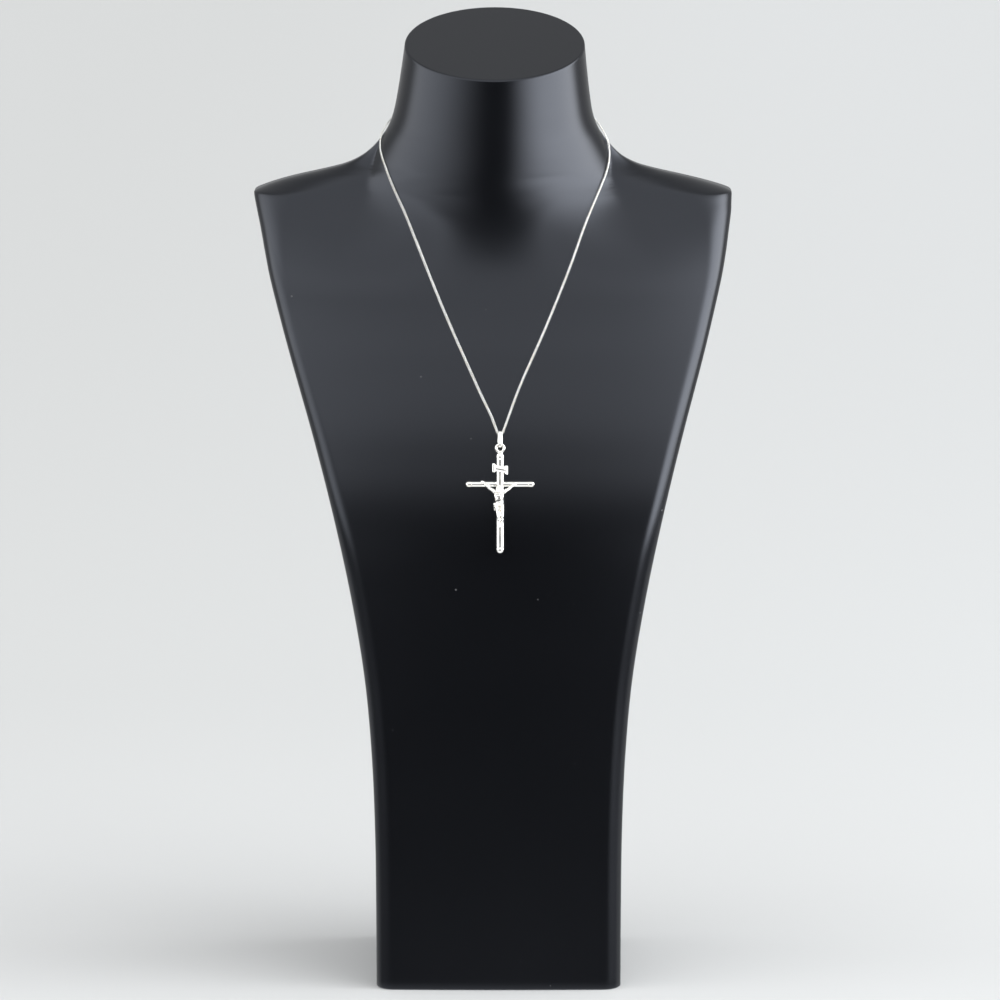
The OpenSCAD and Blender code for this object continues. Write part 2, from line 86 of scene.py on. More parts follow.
def shell(rings, loop=False):
    # Four-cornered faces join each ring to the next, and every ring is closed on itself. A loop
    # joins the last ring to the first. Otherwise a fan to its middle closes each end ring.
    rings = np.asarray(rings, float)
    count, size, _ = rings.shape
    ids = np.arange(count * size).reshape(count, size)
    here = ids if loop else ids[:-1]
    ahead = np.roll(ids, -1, axis=0) if loop else ids[1:]
    quads = np.stack([here, np.roll(here, -1, 1), np.roll(ahead, -1, 1), ahead], -1).reshape(-1, 4)
    points = rings.reshape(-1, 3)
    fans = np.zeros((0, 3), int)
    if not loop:
        points = np.vstack([points, rings[0].mean(0), rings[-1].mean(0)])
        first, final = ids[0], ids[-1]
        near = np.full(size, count * size)
        fans = np.vstack([np.stack([near, np.roll(first, -1), first], 1),
                          np.stack([near + 1, final, np.roll(final, -1)], 1)])
    # Six times the volume, from the corners of the triangles, tells which way the faces look
    tris = np.vstack([quads[:, [0, 1, 2]], quads[:, [0, 2, 3]], fans])
    p, q, r = (points[tris[:, i]] for i in range(3))
    if (p * np.cross(q, r)).sum() < 0:
        quads, fans = quads[:, ::-1], fans[:, ::-1]
    return points, quads, fans


def joined(shells):
    # Shells put in one list, with each one's faces counted on from the points before it
    points, quads, fans, base = [], [], [], 0
    for p, q, f in shells:
        points.append(p)
        quads.append(q + base)
        fans.append(f + base)
        base += len(p)
    return np.vstack(points), np.vstack(quads), np.vstack(fans)


def solid(name, shells, scale=mm):
    # One smooth mesh object of all the shells, whose place is in its points
    points, quads, fans = joined(shells)
    mesh = bpy.data.meshes.new(name)
    mesh.from_pydata((points * scale).tolist(), [], quads.tolist() + fans.tolist())
    mesh.polygons.foreach_set("use_smooth", np.ones(len(mesh.polygons), bool))
    mesh.update()
    piece = bpy.data.objects.new(name, mesh)
    bpy.context.scene.collection.objects.link(piece)
    return piece


def tube(path, wide, deep=None, sides=16, out=(0, -1, 0), loop=False, dome=5):
    # An oval profile carried along a path: wide is its half size across out, deep along it. Ends
    # are domed: their last rings move out by the sine and shrink by the cosine of one angle, which
    # stops short of a right angle so that a fan can close them.
    path = np.asarray(path, float)
    wide = np.broadcast_to(np.asarray(wide, float), len(path))
    deep = wide if deep is None else np.broadcast_to(np.asarray(deep, float), len(path))
    if loop:
        along = unit(np.roll(path, -1, 0) - np.roll(path, 1, 0))
    else:
        along = unit(np.gradient(path, axis=0))
    out = np.broadcast_to(np.asarray(out, float), path.shape)
    out = unit(out - along * (out * along).sum(1, keepdims=True))
    beside = np.cross(along, out)
    if not loop:
        turn = np.radians(np.linspace(0, 84, dome))[1:]
        small = np.cos(turn)
        reach = np.sin(turn)[:, None] * min(wide[0], deep[0])
        far = np.sin(turn)[:, None] * min(wide[-1], deep[-1])
        path = np.vstack([(path[0] - along[0] * reach)[::-1], path, path[-1] + along[-1] * far])
        wide = np.concatenate([(wide[0] * small)[::-1], wide, wide[-1] * small])
        deep = np.concatenate([(deep[0] * small)[::-1], deep, deep[-1] * small])
        pad = [dome - 1, dome - 1]
        out = np.pad(out, [pad, [0, 0]], "edge")
        beside = np.pad(beside, [pad, [0, 0]], "edge")
    a = (np.arange(sides) + 0.5) / sides * 2 * np.pi
    return shell(path[:, None] + beside[:, None] * (np.cos(a)[None, :] * wide[:, None])[..., None]
                 + out[:, None] * (np.sin(a)[None, :] * deep[:, None])[..., None], loop)


def turned(profile, sides=64):
    # A profile of [along, radius] pairs turned round the Z axis
    profile = np.asarray(profile, float)
    a = np.arange(sides) / sides * 2 * np.pi
    ring = np.stack([np.cos(a), np.sin(a), 0 * a], 1)
    return shell(profile[:, 1, None, None] * ring + profile[:, 0, None, None] * np.array([0, 0, 1]))


def ball(centre, sizes, sides=20):
    # A ball stretched along the three axes: sine of the turn across, cosine along Z
    turn = np.radians(np.linspace(8, 172, sides // 2))
    points, quads, fans = turned(np.stack([np.cos(turn), np.sin(turn)], 1), sides)
    return points * np.asarray(sizes, float) + np.asarray(centre, float), quads, fans


def ringOf(radius, wire, sides=24, segments=64):
    # A round ring of wire about the Y axis
    a = np.arange(segments) / segments * 2 * np.pi
    path = np.stack([np.cos(a), 0 * a, np.sin(a)], 1) * radius
    return tube(path, wire, sides=sides, out=(0, 1, 0), loop=True)


def moved(part, matrix, shift=(0, 0, 0)):
    # Each point turned by the matrix and then shifted
    points, quads, fans = part
    return points @ np.asarray(matrix, float).T + np.asarray(shift, float), quads, fans


def leaning(degrees):
    # Turns about the X axis so that what hangs down swings forward
    c, s = math.cos(math.radians(degrees)), math.sin(math.radians(degrees))
    return np.array([[1, 0, 0], [0, c, s], [0, -s, c]])


# Shader maths

class Wire:
    # An output socket that adds a Math node for each sum it takes part in
    def __init__(self, finish, socket):
        self.finish, self.socket = finish, socket

    def sum(self, operation, *values):
        return self.finish.node("ShaderNodeMath", {"operation": operation}, dict(enumerate(values)))

    def __add__(self, other):
        return self.sum("ADD", self, other)

    def __sub__(self, other):
        return self.sum("SUBTRACT", self, other)

    def __rsub__(self, other):
        return self.sum("SUBTRACT", other, self)

    def __mul__(self, other):
        return self.sum("MULTIPLY", self, other)

    __radd__ = __add__
    __rmul__ = __mul__


class Graph:
    # Nodes of one material or world
    def __init__(self, holder):
        holder.use_nodes = True
        self.nodes = holder.node_tree.nodes
        self.links = holder.node_tree.links
        self.nodes.clear()

    def put(self, node, socket, value):
        # A wire is linked to the socket, and any other value is set on it
        if isinstance(value, Wire):
            self.links.new(value.socket, node.inputs[socket])
        else:
            node.inputs[socket].default_value = value

    def node(self, kind, settings=None, sockets=None, out=0):
        # An output node has no socket of its own to go on from
        made = self.nodes.new(kind)
        for name, value in (settings or {}).items():
            setattr(made, name, value)
        for name, value in (sockets or {}).items():
            self.put(made, name, value)
        return Wire(self, made.outputs[out]) if made.outputs else None

    def step(self, value, low, high):
        # Nought below low and one above high
        return self.node("ShaderNodeMapRange", {"interpolation_type": "SMOOTHSTEP"},
                         {"Value": value, "From Min": low, "From Max": high})


class Finish(Graph):
    # One material, with its Principled shader's constants set on its own sockets
    def __init__(self, name, **constants):
        self.material = bpy.data.materials.new(name)
        super().__init__(self.material)
        surface = self.node("ShaderNodeBsdfPrincipled")
        self.node("ShaderNodeOutputMaterial", None, {0: surface})
        self.shader = surface.socket.node
        self.feed(**constants)
        self.place = self.node("ShaderNodeTexCoord", out="Object")

    def feed(self, **values):
        # The Principled shader's own sockets, with a line for each space in their names
        for socket, value in values.items():
            self.put(self.shader, socket.replace("_", " "), value)

    def noise(self, scale, detail, stretch=(1, 1, 1)):
        at = self.node("ShaderNodeMapping", None, {"Vector": self.place, "Scale": stretch})
        return self.node("ShaderNodeTexNoise", None, {"Vector": at, "Scale": scale, "Detail": detail})

    def mixed(self, share, one, other):
        return self.node("ShaderNodeMix", {"data_type": "RGBA"}, {0: share, 6: one, 7: other}, 2)

    def bump(self, height, depth, strength):
        return self.node("ShaderNodeBump", None,
                         {"Height": height, "Distance": depth, "Strength": strength})


# Sprayed black coat. The speck edges are shares of a cell of the fine pattern, and the patch edges
# say where the slow noise lets dust lie.
blackGloss = {
    "colour": (0.0017, 0.0019, 0.0026, 1), "tint": (0.92, 0.97, 1.1, 1), "refraction": 1.5,
    "roughness": 0.23, "cloudRoughness": 0.05, "cloudScale": 9, "grainScale": 1400,
    "bumpDepth": 0.00001, "bumpStrength": 0.25,
    "dust": (0.35, 0.35, 0.34, 1), "dustShare": 0.2, "dustRoughness": 0.3, "dustBump": 2,
    "speckScale": 160, "speckEdge": (0.05, 0.09), "patchScale": 55, "patchEdge": (0.66, 0.70),
}
# Polished silver. Its scratches run two ways: the noise's stretch, and the edge of a scratch in it.
polishedSilver = {
    "colour": (0.93, 0.92, 0.89), "tarnishAndShade": (0.93, 0.88, 0.78), "tarnishShare": 0.5,
    "roughness": 0.09, "wear": 0.10, "cloudScale": 260, "cloudEdge": (0.45, 0.75),
    "scratchScale": 900, "scratches": (((1, 1, 0.06), (0.56, 0.66)), ((0.08, 1, 1), (0.58, 0.68))),
    "scratchRoughness": 0.6, "bumpDepth": 0.000004, "bumpStrength": 0.35,
}
# Cast silver, polished on the high places, with painted shade that makes it duller and warmer in the
# hollows
castSilver = {
    "colour": (0.93, 0.92, 0.88), "tarnishAndShade": (0.50, 0.40, 0.26), "tarnishAndShadeEdge": (0.45, 0.95),
    "roughness": 0.17, "tarnishAndShadeRoughness": 0.22, "grainRoughness": 0.06, "grainScale": 5200,
    "cloudScale": 420, "cloudShare": 0.35, "bumpDepth": 0.000012, "bumpStrength": 0.4,
}


def tarnishAndShadeColour(look):
    # The clean colour dulled by the tarnish colour, as a shader colour. On the cast silver the
    # dulling is painted shade.
    return tuple(clean * dull for clean, dull in zip(look["colour"], look["tarnishAndShade"])) + (1,)


def finishBust():
    look = blackGloss
    coat = Finish("blackGloss", IOR=look["refraction"], Specular_Tint=look["tint"])
    # Slow unevenness in the gloss, and a very fine grain
    cloudy = coat.noise(look["cloudScale"], 3)
    grain = coat.noise(look["grainScale"], 2)
    # Dust: the middles of a few cells of a fine cell pattern, thinned out by a slow noise
    cell = coat.node("ShaderNodeTexVoronoi", None,
                     {"Vector": coat.place, "Scale": look["speckScale"]}, "Distance")
    thin = coat.step(coat.noise(look["patchScale"], 2), *look["patchEdge"])
    speck = (1 - coat.step(cell, *look["speckEdge"])) * thin
    even = look["roughness"] - look["cloudRoughness"] / 2
    coat.feed(Base_Color=coat.mixed(speck * look["dustShare"], look["colour"], look["dust"]),
              Roughness=cloudy * look["cloudRoughness"] + even + speck * look["dustRoughness"],
              Normal=coat.bump(grain + speck * look["dustBump"], look["bumpDepth"],
                               look["bumpStrength"]))
    return coat.material


def finishSilver():
    # Tarnish lies in slow clouds, with fine wiping scratches over it
    look = polishedSilver
    silver = Finish("polishedSilver", Metallic=1.0)
    clouds = silver.step(silver.noise(look["cloudScale"], 4), *look["cloudEdge"])
    along, across = (silver.step(silver.noise(look["scratchScale"], 2, stretch), *edge)
                     for stretch, edge in look["scratches"])
    scratches = along + across
    silver.feed(Base_Color=silver.mixed(clouds * look["tarnishShare"], (*look["colour"], 1),
                                        tarnishAndShadeColour(look)),
                Roughness=clouds * look["wear"]
                + scratches * (look["wear"] * look["scratchRoughness"]) + look["roughness"],
                Normal=silver.bump(scratches, look["bumpDepth"], look["bumpStrength"]))
    return silver.material


def finishCast():
    # The mesh marks its own hollows, where painted shade dulls and warms the colour
    look = castSilver
    cast = Finish("castSilver", Metallic=1.0)
    hollow = cast.node("ShaderNodeAttribute", {"attribute_name": "hollow"}, out="Fac")
    grain = cast.noise(look["grainScale"], 3)
    clouds = cast.noise(look["cloudScale"], 3)
    # Painted shade: the deeper the hollow, the darker and warmer the colour, with slow random clouds
    # of tone added
    tarnishAndShade = cast.step(hollow + clouds * look["cloudShare"], *look["tarnishAndShadeEdge"])
    cast.feed(Base_Color=cast.mixed(tarnishAndShade, (*look["colour"], 1), tarnishAndShadeColour(look)),
              Roughness=tarnishAndShade * look["tarnishAndShadeRoughness"] + grain * look["grainRoughness"]
              + look["roughness"],
              Normal=cast.bump(grain + clouds, look["bumpDepth"], look["bumpStrength"]))
    return cast.material


silverFinish = finishSilver()
castFinish = finishCast()
bustFinish = finishBust()


def place(piece, body, finish, slot, *nodes):
    # Its finish, the body that it moves with and the nodes that it stands for; the slot is not used
    piece.data.materials.append(finish)
    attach(piece, body)
    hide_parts(*nodes)
    print(f"{piece.name}: {len(piece.data.vertices)} points, for {', '.join(nodes)}")


# Bust

bust = {
    "height": 491, "shoulderHeight": 400, "shoulderWidth": 242, "footWidth": 125, "footDepth": 92,
    "neckWidth": 90.5, "neckDepth": 76, "neckSetback": 22.5, "cutTilt": 21.5, "tiltStart": 15,
    "chestSetback": 30.5, "chestBow": 18, "backLean": 14.5, "backBow": 6, "sway": 3.6,
    "edgeRadius": 8, "tipReach": 38, "tipSetback": 7.5, "ridge": 4, "rimRadius": 0.8,
    "evening": 4, "rowSteps": 8, "angleStep": 1.5,
    # Shares, from the foot up to the shoulder tips: of their height, of the growth in width, of
    # the setback, the bow, the lean and the sway, of the thinning towards the shoulder's ridge, of
    # the neck's swelling in front and behind and of its width, and its power
    "body": {
        "height": (0, .10, .20, .30, .40, .50, .60, .70, .80, .85, .90, .93, .96, .98, .9925),
        "flare": (0, 0, .005, .029, .085, .19, .33, .502, .697, .79, .876, .917, .953, .98, .993),
        "setback": (0, 0, 0, 0, 0, 0, .04, .254, .528, .672, .812, .89, .948, .973, .985),
        "bow": (.05, .06, .075, .10, .14, .20, .28, .42, .62, .74, .83, .79, .62, .49, .41),
        "lean": (0, 0, 0, 0, 0, 0, .01, .035, .10, .165, .25, .33, .42, .49, .53),
        "sway": (0, 0, 0, 0, 0, 0, .03, .10, .22, .30, .38, .42, .50, .60, .72),
        "thin": (0, 0, 0, 0, 0, 0, 0, 0, 0, 0, .01, .04, .11, .21, .32),
        "swell": (0, 0, 0, 0, 0, 0, 0, 0, 0, 0, .004, .055, .20, .36, .462),
        "backSwell": (0, 0, 0, 0, 0, 0, 0, 0, 0, 0, 0, .01, .042, .09, .13),
        "reach": (.85, .85, .85, .85, .85, .85, .85, .85, .85, .82, .76, .68, .61, .57, .548),
        "power": (2, 2, 2, 2, 2, 2, 2, 2, 2, 2, 1.93, 1.76, 1.54, 1.38, 1.26)},
    # The same, from the shoulder tips up to the neck cut
    "yoke": {
        "height": (.003, .018, .032, .050, .071, .10, .13, .16, .20, .25, .31, .38, .46, .555, .69,
                   .85, 1),
        "flare": (1, .997, .975, .93, .868, .77, .651, .523, .38, .278, .205, .145, .096, .064,
                  .040, .018, 0),
        "setback": (.987, .988, .989, .991, .993, .995, .997, .999, 1.002, 1.005, 1.008, 1.012,
                    1.016, 1.021, 1.028, 1.036, 1.043),
        "bow": (.36, .35, .335, .31, .285, .245, .205, .17, .135, .10, .078, .06, .043, .028, .014,
                .005, 0),
        "lean": (.56, .575, .59, .605, .62, .645, .67, .695, .73, .77, .82, .88, .93, .97, .99, 1,
                 1),
        "sway": (.78, .80, .84, .90, 1.02, 1.15, 1.20, 1.17, 1.03, .92, .83, .80, .79, .76, .68,
                 .60, .52),
        "thin": (.44, .56, .68, .80, .91, 1, 1, 1, 1, 1, 1, 1, 1, 1, 1, 1, 1),
        "swell": (.525, .548, .567, .592, .617, .652, .687, .718, .757, .803, .852, .898, .938,
                  .962, .966, .96, .95),
        "backSwell": (.172, .19, .206, .23, .26, .31, .372, .437, .53, .64, .75, .85, .925, .97,
                      .986, .99, .99),
        "reach": (.534, .530, .534, .545, .563, .597, .647, .713, .81, .895, .955, .992, 1, 1, 1, 1,
                  1),
        "power": (1.18, 1.15, 1.125, 1.09, 1.052, .997, .945, .90, .86, .816, .76, .682, .584,
                  .528, .51, .5, .5)},
}
tiltSlope = math.tan(math.radians(bust["cutTilt"]))
neckTop = bust["height"] - bust["neckDepth"] / 2 * tiltSlope


def bustSections():
    # Columns: height, half width, middle of the front and of the back, how far the sides fall
    # back and the back's sides come forward, the corners' size across, their depth in front and
    # behind, the neck's swelling in front and behind, its half width and power, and the sway
    tip, neckHalf = bust["shoulderWidth"] / 2, bust["neckWidth"] / 2
    parts = []
    for part in ("body", "yoke"):
        rows = {name: np.array(column, float) for name, column in bust[part].items()}
        if part == "body":
            height = rows["height"] * bust["shoulderHeight"]
            half = between(bust["footWidth"] / 2, tip, rows["flare"])
        else:
            height = between(bust["shoulderHeight"], neckTop, rows["height"])
            half = between(neckHalf, tip, rows["flare"])
        front = bust["chestSetback"] * rows["setback"] - bust["footDepth"] / 2
        back = bust["footDepth"] / 2 + bust["backLean"] * rows["lean"]
        bow, backBow = bust["chestBow"] * rows["bow"], bust["backBow"] * rows["bow"]
        swell, backSwell = (rows[name] * bust["neckDepth"] / 2 for name in ("swell", "backSwell"))
        out = np.clip((half - neckHalf) / (tip - neckHalf), 0, 1)
        ridge = bust["neckSetback"] + bust["tipSetback"] * out
        edge, thin = bust["edgeRadius"], rows["thin"]
        size = between(edge, np.minimum(bust["tipReach"], half / 2), thin)
        deep = between(edge, ridge - bust["ridge"] / 2 - front - swell - bow, thin)
        backDeep = between(edge, back - backSwell - backBow - ridge - bust["ridge"] / 2, thin)
        parts.append([height, half, front, back, bow, backBow, size, np.maximum(deep, 0),
                      np.maximum(backDeep, 0), swell, backSwell, half * rows["reach"],
                      rows["power"], bust["sway"] * rows["sway"]])
    table = rounded(np.hstack(parts).T, bust["rowSteps"])
    # All columns but height, width, corner size and sway are evened out over a few millimetres of
    # height by a bell curve, because the gloss would show every row
    near = np.exp(-((table[:, :1] - table[None, :, 0]) / bust["evening"]) ** 2 / 2)
    near *= np.gradient(table[:, 0])
    near /= near.sum(1, keepdims=True)
    smooth = [2, 3, 4, 5, 7, 8, 9, 10, 11, 12]
    table[:, smooth] = near @ table[:, smooth]
    return table


sections = bustSections()


def skinPoint(height, angle, inset=0.0, onFront=None):
    # The angle is 0 at the middle of the front, 90 at the right side and 180 at the middle of the
    # back. Across is the half width times its sine. From its middle line the front falls back by
    # a bow, at each corner by one less the root of one less its share squared, and beside the neck
    # by one less a power of one less its share squared.
    height, angle = np.broadcast_arrays(np.asarray(height, float), np.asarray(angle, float))
    (wide, front, back, bow, backBow, size, deep, backDeep, swell, backSwell, reach, power, sway) = (
        np.interp(height, sections[:, 0], sections[:, i]) for i in range(1, 14))
    wide, front, back = wide - inset, front + inset, back - inset
    swell, backSwell = np.maximum(swell - inset, 0), np.maximum(backSwell - inset, 0)
    sine = np.sin(np.radians(angle))
    into = np.clip((np.abs(sine) * wide - wide + size) / size, 0, 1)
    fall = 1 - np.sqrt(1 - into ** 2)
    beside = 1 - np.clip(1 - (sine * wide / np.minimum(reach, wide)) ** 2, 0, 1) ** power
    onFront = np.abs(angle) <= 90 if onFront is None else onFront
    y = np.where(onFront, front + bow * sine ** 2 + deep * fall + swell * beside,
                 back - backBow * sine ** 2 - backDeep * fall - backSwell * beside)
    start = bust["shoulderHeight"] + bust["tiltStart"]
    tilt = tiltSlope * ease((height - start) / (neckTop - start))
    return np.stack([wide * sine - sway, y, height + tilt * (y - bust["neckSetback"])], -1)


def skinNormal(height, angle):
    # From points half a degree and half a millimetre to each side
    across = skinPoint(height, angle + 0.5) - skinPoint(height, angle - 0.5)
    return unit(np.cross(across, skinPoint(height + 0.5, angle) - skinPoint(height - 0.5, angle)))


def angleAcross(x, height, behind=False):
    # The angle at a given place across the bust
    wide, sway = (np.interp(height, sections[:, 0], sections[:, i]) for i in (1, 13))
    angle = np.degrees(np.arcsin(np.clip((x + sway) / wide, -1, 1)))
    return np.where(behind, np.sign(x) * 180 - angle, angle)


def makeBust():
    # Rings of the skin from the foot to the neck cut. At both rims the rings rise by one less the
    # cosine of an angle and are drawn in by one less its sine.
    rim = bust["rimRadius"]
    inner = sections[(sections[:, 0] > rim) & (sections[:, 0] < neckTop - rim), 0]
    q = np.radians(np.linspace(0, 90, 7))
    rise, inset = rim * (1 - np.cos(q)), rim * (1 - np.sin(q))
    heights = np.concatenate([rise, inner, neckTop - rise[::-1]])
    insets = np.concatenate([inset, 0 * inner, inset[::-1]])
    half = np.arange(-90, 90 + bust["angleStep"] / 2, bust["angleStep"])
    angles = np.concatenate([half, half + 180])
    rings = skinPoint(heights[:, None], angles[None, :], insets[:, None],
                      np.arange(len(angles))[None, :] < len(half))
    # The underside and the neck cut are flat, in rings that shrink towards their middles
    shrink = np.array([0.15, 0.5, 0.85, 0.97, 0.992])[:, None, None]
    foot, cut = (between(end.mean(0), end, shrink) for end in (rings[0], rings[-1]))
    rings = np.concatenate([foot, rings, cut[::-1]])
    place(solid("bustSkin", [shell(rings)]), "stand", bustFinish, "black_gloss", "bust")


makeBust()

# Chain, clasp and bail. The chain lies on the skin and is then pulled taut, in a number of rounds,
# with the points nearest to the clasp held.

chain = {
    "width": 1.2, "gap": 0.05, "bendRadius": 1.6, "strandSlope": 22, "acrossLow": 0.8,
    "lowest": 288, "liftRun": 14, "wire": 0.32, "link": 1.66, "slack": 0.012, "twist": 45,
    "linkSegments": 14, "wireSides": 6, "napeHeight": 442, "held": 14, "pulls": 60,
    "unevenness": 3,  # of one link against the next, in degrees
    # Across and height, whether it lies behind the widest line, and how far it stands off
    "right": ((13.5, 441.5, 1, 0), (21.5, 441, 1, 0), (29, 440.5, 1, 0), (35.4, 440, 1, 0),
              (40.3, 439.4, 1, 0), (44, 438.4, 1, .1), (47.2, 436.6, 1, .3), (50, 433.7, 1, .6),
              (52.4, 430.3, 1, .7), (54.8, 426.8, 0, .5), (56.3, 423.2, 0, .2), (56.1, 419.4, 0, 0),
              (54.5, 414.4, 0, 0), (52.2, 408.8, 0, 0), (49.4, 402.6, 0, 0), (46.3, 396, 0, 0),
              (42.9, 388.5, 0, 0), (35, 367, 0, 0), (23.4, 339, 0, 0), (11, 311.6, 0, 0),
              (5, 296, 0, 0)),
    "left": ((-3.5, 296, 0, 0), (-11, 311.6, 0, 0), (-23.5, 339, 0, 0), (-34.5, 365, 0, 0),
             (-44.2, 388.5, 0, 0), (-48.1, 397.5, 0, 0), (-51.6, 405, 0, 0), (-54.3, 410.8, 0, 0),
             (-56.6, 415.8, 0, 0), (-58.4, 420.2, 0, .1), (-59.5, 424.4, 0, .3),
             (-59.4, 428, 0, .6), (-58, 431, 1, .7), (-55.9, 434, 1, .6), (-53.2, 436.8, 1, .3),
             (-50.4, 438.5, 1, .1), (-47, 439.4, 1, 0), (-42.2, 440, 1, 0), (-36.7, 440.5, 1, 0),
             (-28.8, 441, 1, 0), (-18.5, 441.5, 1, 0)),
}
bail = {"length": 5.2, "thick": 0.45, "wide": 2.45, "endWide": 1.5, "play": 0.65, "ringPlay": 0.55,
        "crown": 0.07,
        # Down as a share of the length, and width as a share of the way from end to widest
        "down": (-.30, -.09, .03, .35, .55, .78, .88, .97, 1.04, 1.4),
        "swell": (0, 0, .55, .75, .92, 1, .85, .30, 0, 0)}
clasp = {"length": 8, "width": 2.6, "eye": 2.8, "wire": 0.6, "jumpRing": 2.2, "jumpWire": 0.36,
         "standOff": 0.25, "corner": 0.45, "endFlat": 0.55,
         # The bead at each end and the seam: in from the end, or out from the middle, and how deep
         "bead": ((.7, 0), (.75, .07), (.85, .07), (.9, .02), (1.6, .02)),
         "seam": ((.75, .02), (.7, .09), (.6, .09), (.55, 0), (.12, 0), (.05, .1))}
ring = {"width": 5.3, "wire": 1.5}

joints = {joint["name"]: joint for joint in frame["joints"]}
topHinge = np.array(joints["bail_swing"]["pos_m"]) / mm
lowHinge = np.array(joints["pendant_swing"]["pos_m"]) / mm
bailLean = math.degrees(math.atan2(topHinge[1] - lowHinge[1], topHinge[2] - lowHinge[2]))
chainClear = chain["width"] / 2 + chain["gap"]  # of the chain's middle line from the skin


def settled(path):
    # The chain pulled taut: points a millimetre apart move half way to the middle between their
    # neighbours and are put back outside the skin, many times. Its ends at the clasp and the
    # stretch near the bail stay.
    skin = BVHTree.FromObject(bpy.data.objects["bustSkin"],
                              bpy.context.evaluated_depsgraph_get())
    points = spaced(path, int(np.linalg.norm(np.diff(path[:, :3], axis=0), axis=1).sum()) + 1)
    free = points[:, 2] > chain["lowest"] + 2 * chain["liftRun"]
    free[:chain["held"]] = free[-chain["held"]:] = False
    ids = np.flatnonzero(free)
    for _ in range(chain["pulls"]):
        middle = (points[ids - 1] + points[ids + 1]) / 2
        points[ids] += (middle - points[ids]) / 2
        near = [skin.find_nearest(Vector(point * mm)) for point in points[ids, :3]]
        spot, normal = (np.array([row[i] for row in near]) for i in (0, 1))
        high = ((points[ids, :3] - spot / mm) * normal).sum(1, keepdims=True)
        points[ids, :3] += normal * np.maximum(chainClear - high, 0)
        points[ids, 3:] += normal
        points[:, 3:] = unit(points[:, 3:])
    return rounded(points, 3)


def chainPath():
    # The chain's middle line with the way out of the bust at each point: laid on the skin, lifted
    # off it towards the bail, and one arc through the bail
    lowest = chain["lowest"], angleAcross(chain["acrossLow"], chain["lowest"])
    liftTop = np.linalg.norm(topHinge - skinPoint(*lowest)) - chainClear
    out = skinNormal(*lowest)
    turn = np.radians(np.linspace(90 - chain["strandSlope"], -90 + chain["strandSlope"], 25))
    up = np.cross(out, [1, 0, 0])
    arc = topHinge + chain["bendRadius"] * (
        np.sin(turn)[:, None] * np.array([1, 0, 0]) + (1 - np.cos(turn))[:, None] * up)
    nape = chain["napeHeight"]
    middle = skinPoint(nape, 180) + skinNormal(nape, 180) * (clasp["standOff"] + clasp["width"] / 2)
    # From the barrel's middle to the chain's last link, which hooks into the jump ring
    hook = clasp["length"] / 2 + clasp["eye"] - clasp["wire"] + clasp["jumpRing"] - chain["wire"]
    hook -= clasp["wire"] / 2 + clasp["jumpWire"] * 1.5
    ends = [np.hstack([middle + [side * hook, 0, 0], [0, 1, 0]])[None] for side in (1, -1)]
    laid = []
    for side in ("right", "left"):
        rows = np.array(chain[side], float)
        keys = np.stack([angleAcross(rows[:, 0], rows[:, 1], rows[:, 2] == 1), rows[:, 1],
                         rows[:, 3]], 1)
        angle, height, off = rounded(keys, 10).T
        normal = skinNormal(height, angle)
        lift = liftTop * np.clip(1 - (height - chain["lowest"]) / chain["liftRun"], 0, None) ** 2
        off = (chainClear + lift + off)[:, None]
        laid.append(np.hstack([skinPoint(height, angle) + normal * off, normal]))
    bend = np.hstack([arc, np.broadcast_to(out, arc.shape)])
    return settled(rounded(np.vstack([ends[0], laid[0], bend, laid[1], ends[1]]), 2)), middle


def makeChain():
    # Links at equal steps along the path, each a pitch from the next: its length less two wires
    # and a little slack
    path, middle = chainPath()
    pitch = chain["link"] - 2 * chain["wire"] - chain["slack"]
    length = np.linalg.norm(np.diff(path[:, :3], axis=0), axis=1).sum()
    count = int(round(length / pitch))
    row = spaced(path, 2 * count + 1)[1::2]
    along = unit(np.gradient(spaced(path, 2 * count + 1)[:, :3], axis=0))[1::2]
    out = unit(row[:, 3:] - along * (row[:, 3:] * along).sum(1, keepdims=True))
    beside = np.cross(along, out)
    # One link: an oval of round wire. Its plane turns with the way along it, by the twist at each
    # end, so that every link lies flat and its ends cross its neighbours' at right angles.
    a = np.arange(chain["linkSegments"]) / chain["linkSegments"] * 2 * np.pi
    b = (np.arange(chain["wireSides"]) + 0.5) / chain["wireSides"] * 2 * np.pi
    r = chain["wire"] / 2
    halfLong, halfWide = chain["link"] / 2 - r, chain["width"] / 2 - r
    edge = unit(np.stack([halfWide * np.cos(a), halfLong * np.sin(a)], 1))
    far = halfLong * np.cos(a)[:, None] + r * np.cos(b)[None] * edge[:, 0, None]
    wide = halfWide * np.sin(a)[:, None] + r * np.cos(b)[None] * edge[:, 1, None]
    high = np.broadcast_to(r * np.sin(b)[None], far.shape)
    turn = np.radians(chain["twist"]) * far / halfLong
    wide, high = wide * np.cos(turn) - high * np.sin(turn), wide * np.sin(turn) + high * np.cos(turn)
    # Small differences from link to link, as in a worn chain
    roll = np.radians(rng.normal(0, chain["unevenness"], count))
    rolled = np.cos(roll)[:, None] * beside + np.sin(roll)[:, None] * out
    raised = np.cross(along, rolled)
    links = (row[:, None, None, :3] + far[None, ..., None] * along[:, None, None]
             + wide[None, ..., None] * rolled[:, None, None]
             - high[None, ..., None] * raised[:, None, None])
    parts = [shell(link, loop=True) for link in links]
    jump = clasp["length"] / 2 + clasp["eye"] - clasp["wire"] * 1.5 - clasp["jumpWire"]
    jump += clasp["jumpRing"] / 2
    for side in (1, -1):
        rim = ringOf((clasp["jumpRing"] - clasp["jumpWire"]) / 2, clasp["jumpWire"] / 2, 10, 32)
        parts.append(moved(rim, [[1, 0, 0], [0, 0, 1], [0, -1, 0]], middle + [side * jump, 0, 0]))
    place(solid("chainLinks", parts), "stand", silverFinish, "silver", "chain")
    print(f"chain of {count} links, {length:.0f} mm")
    return middle


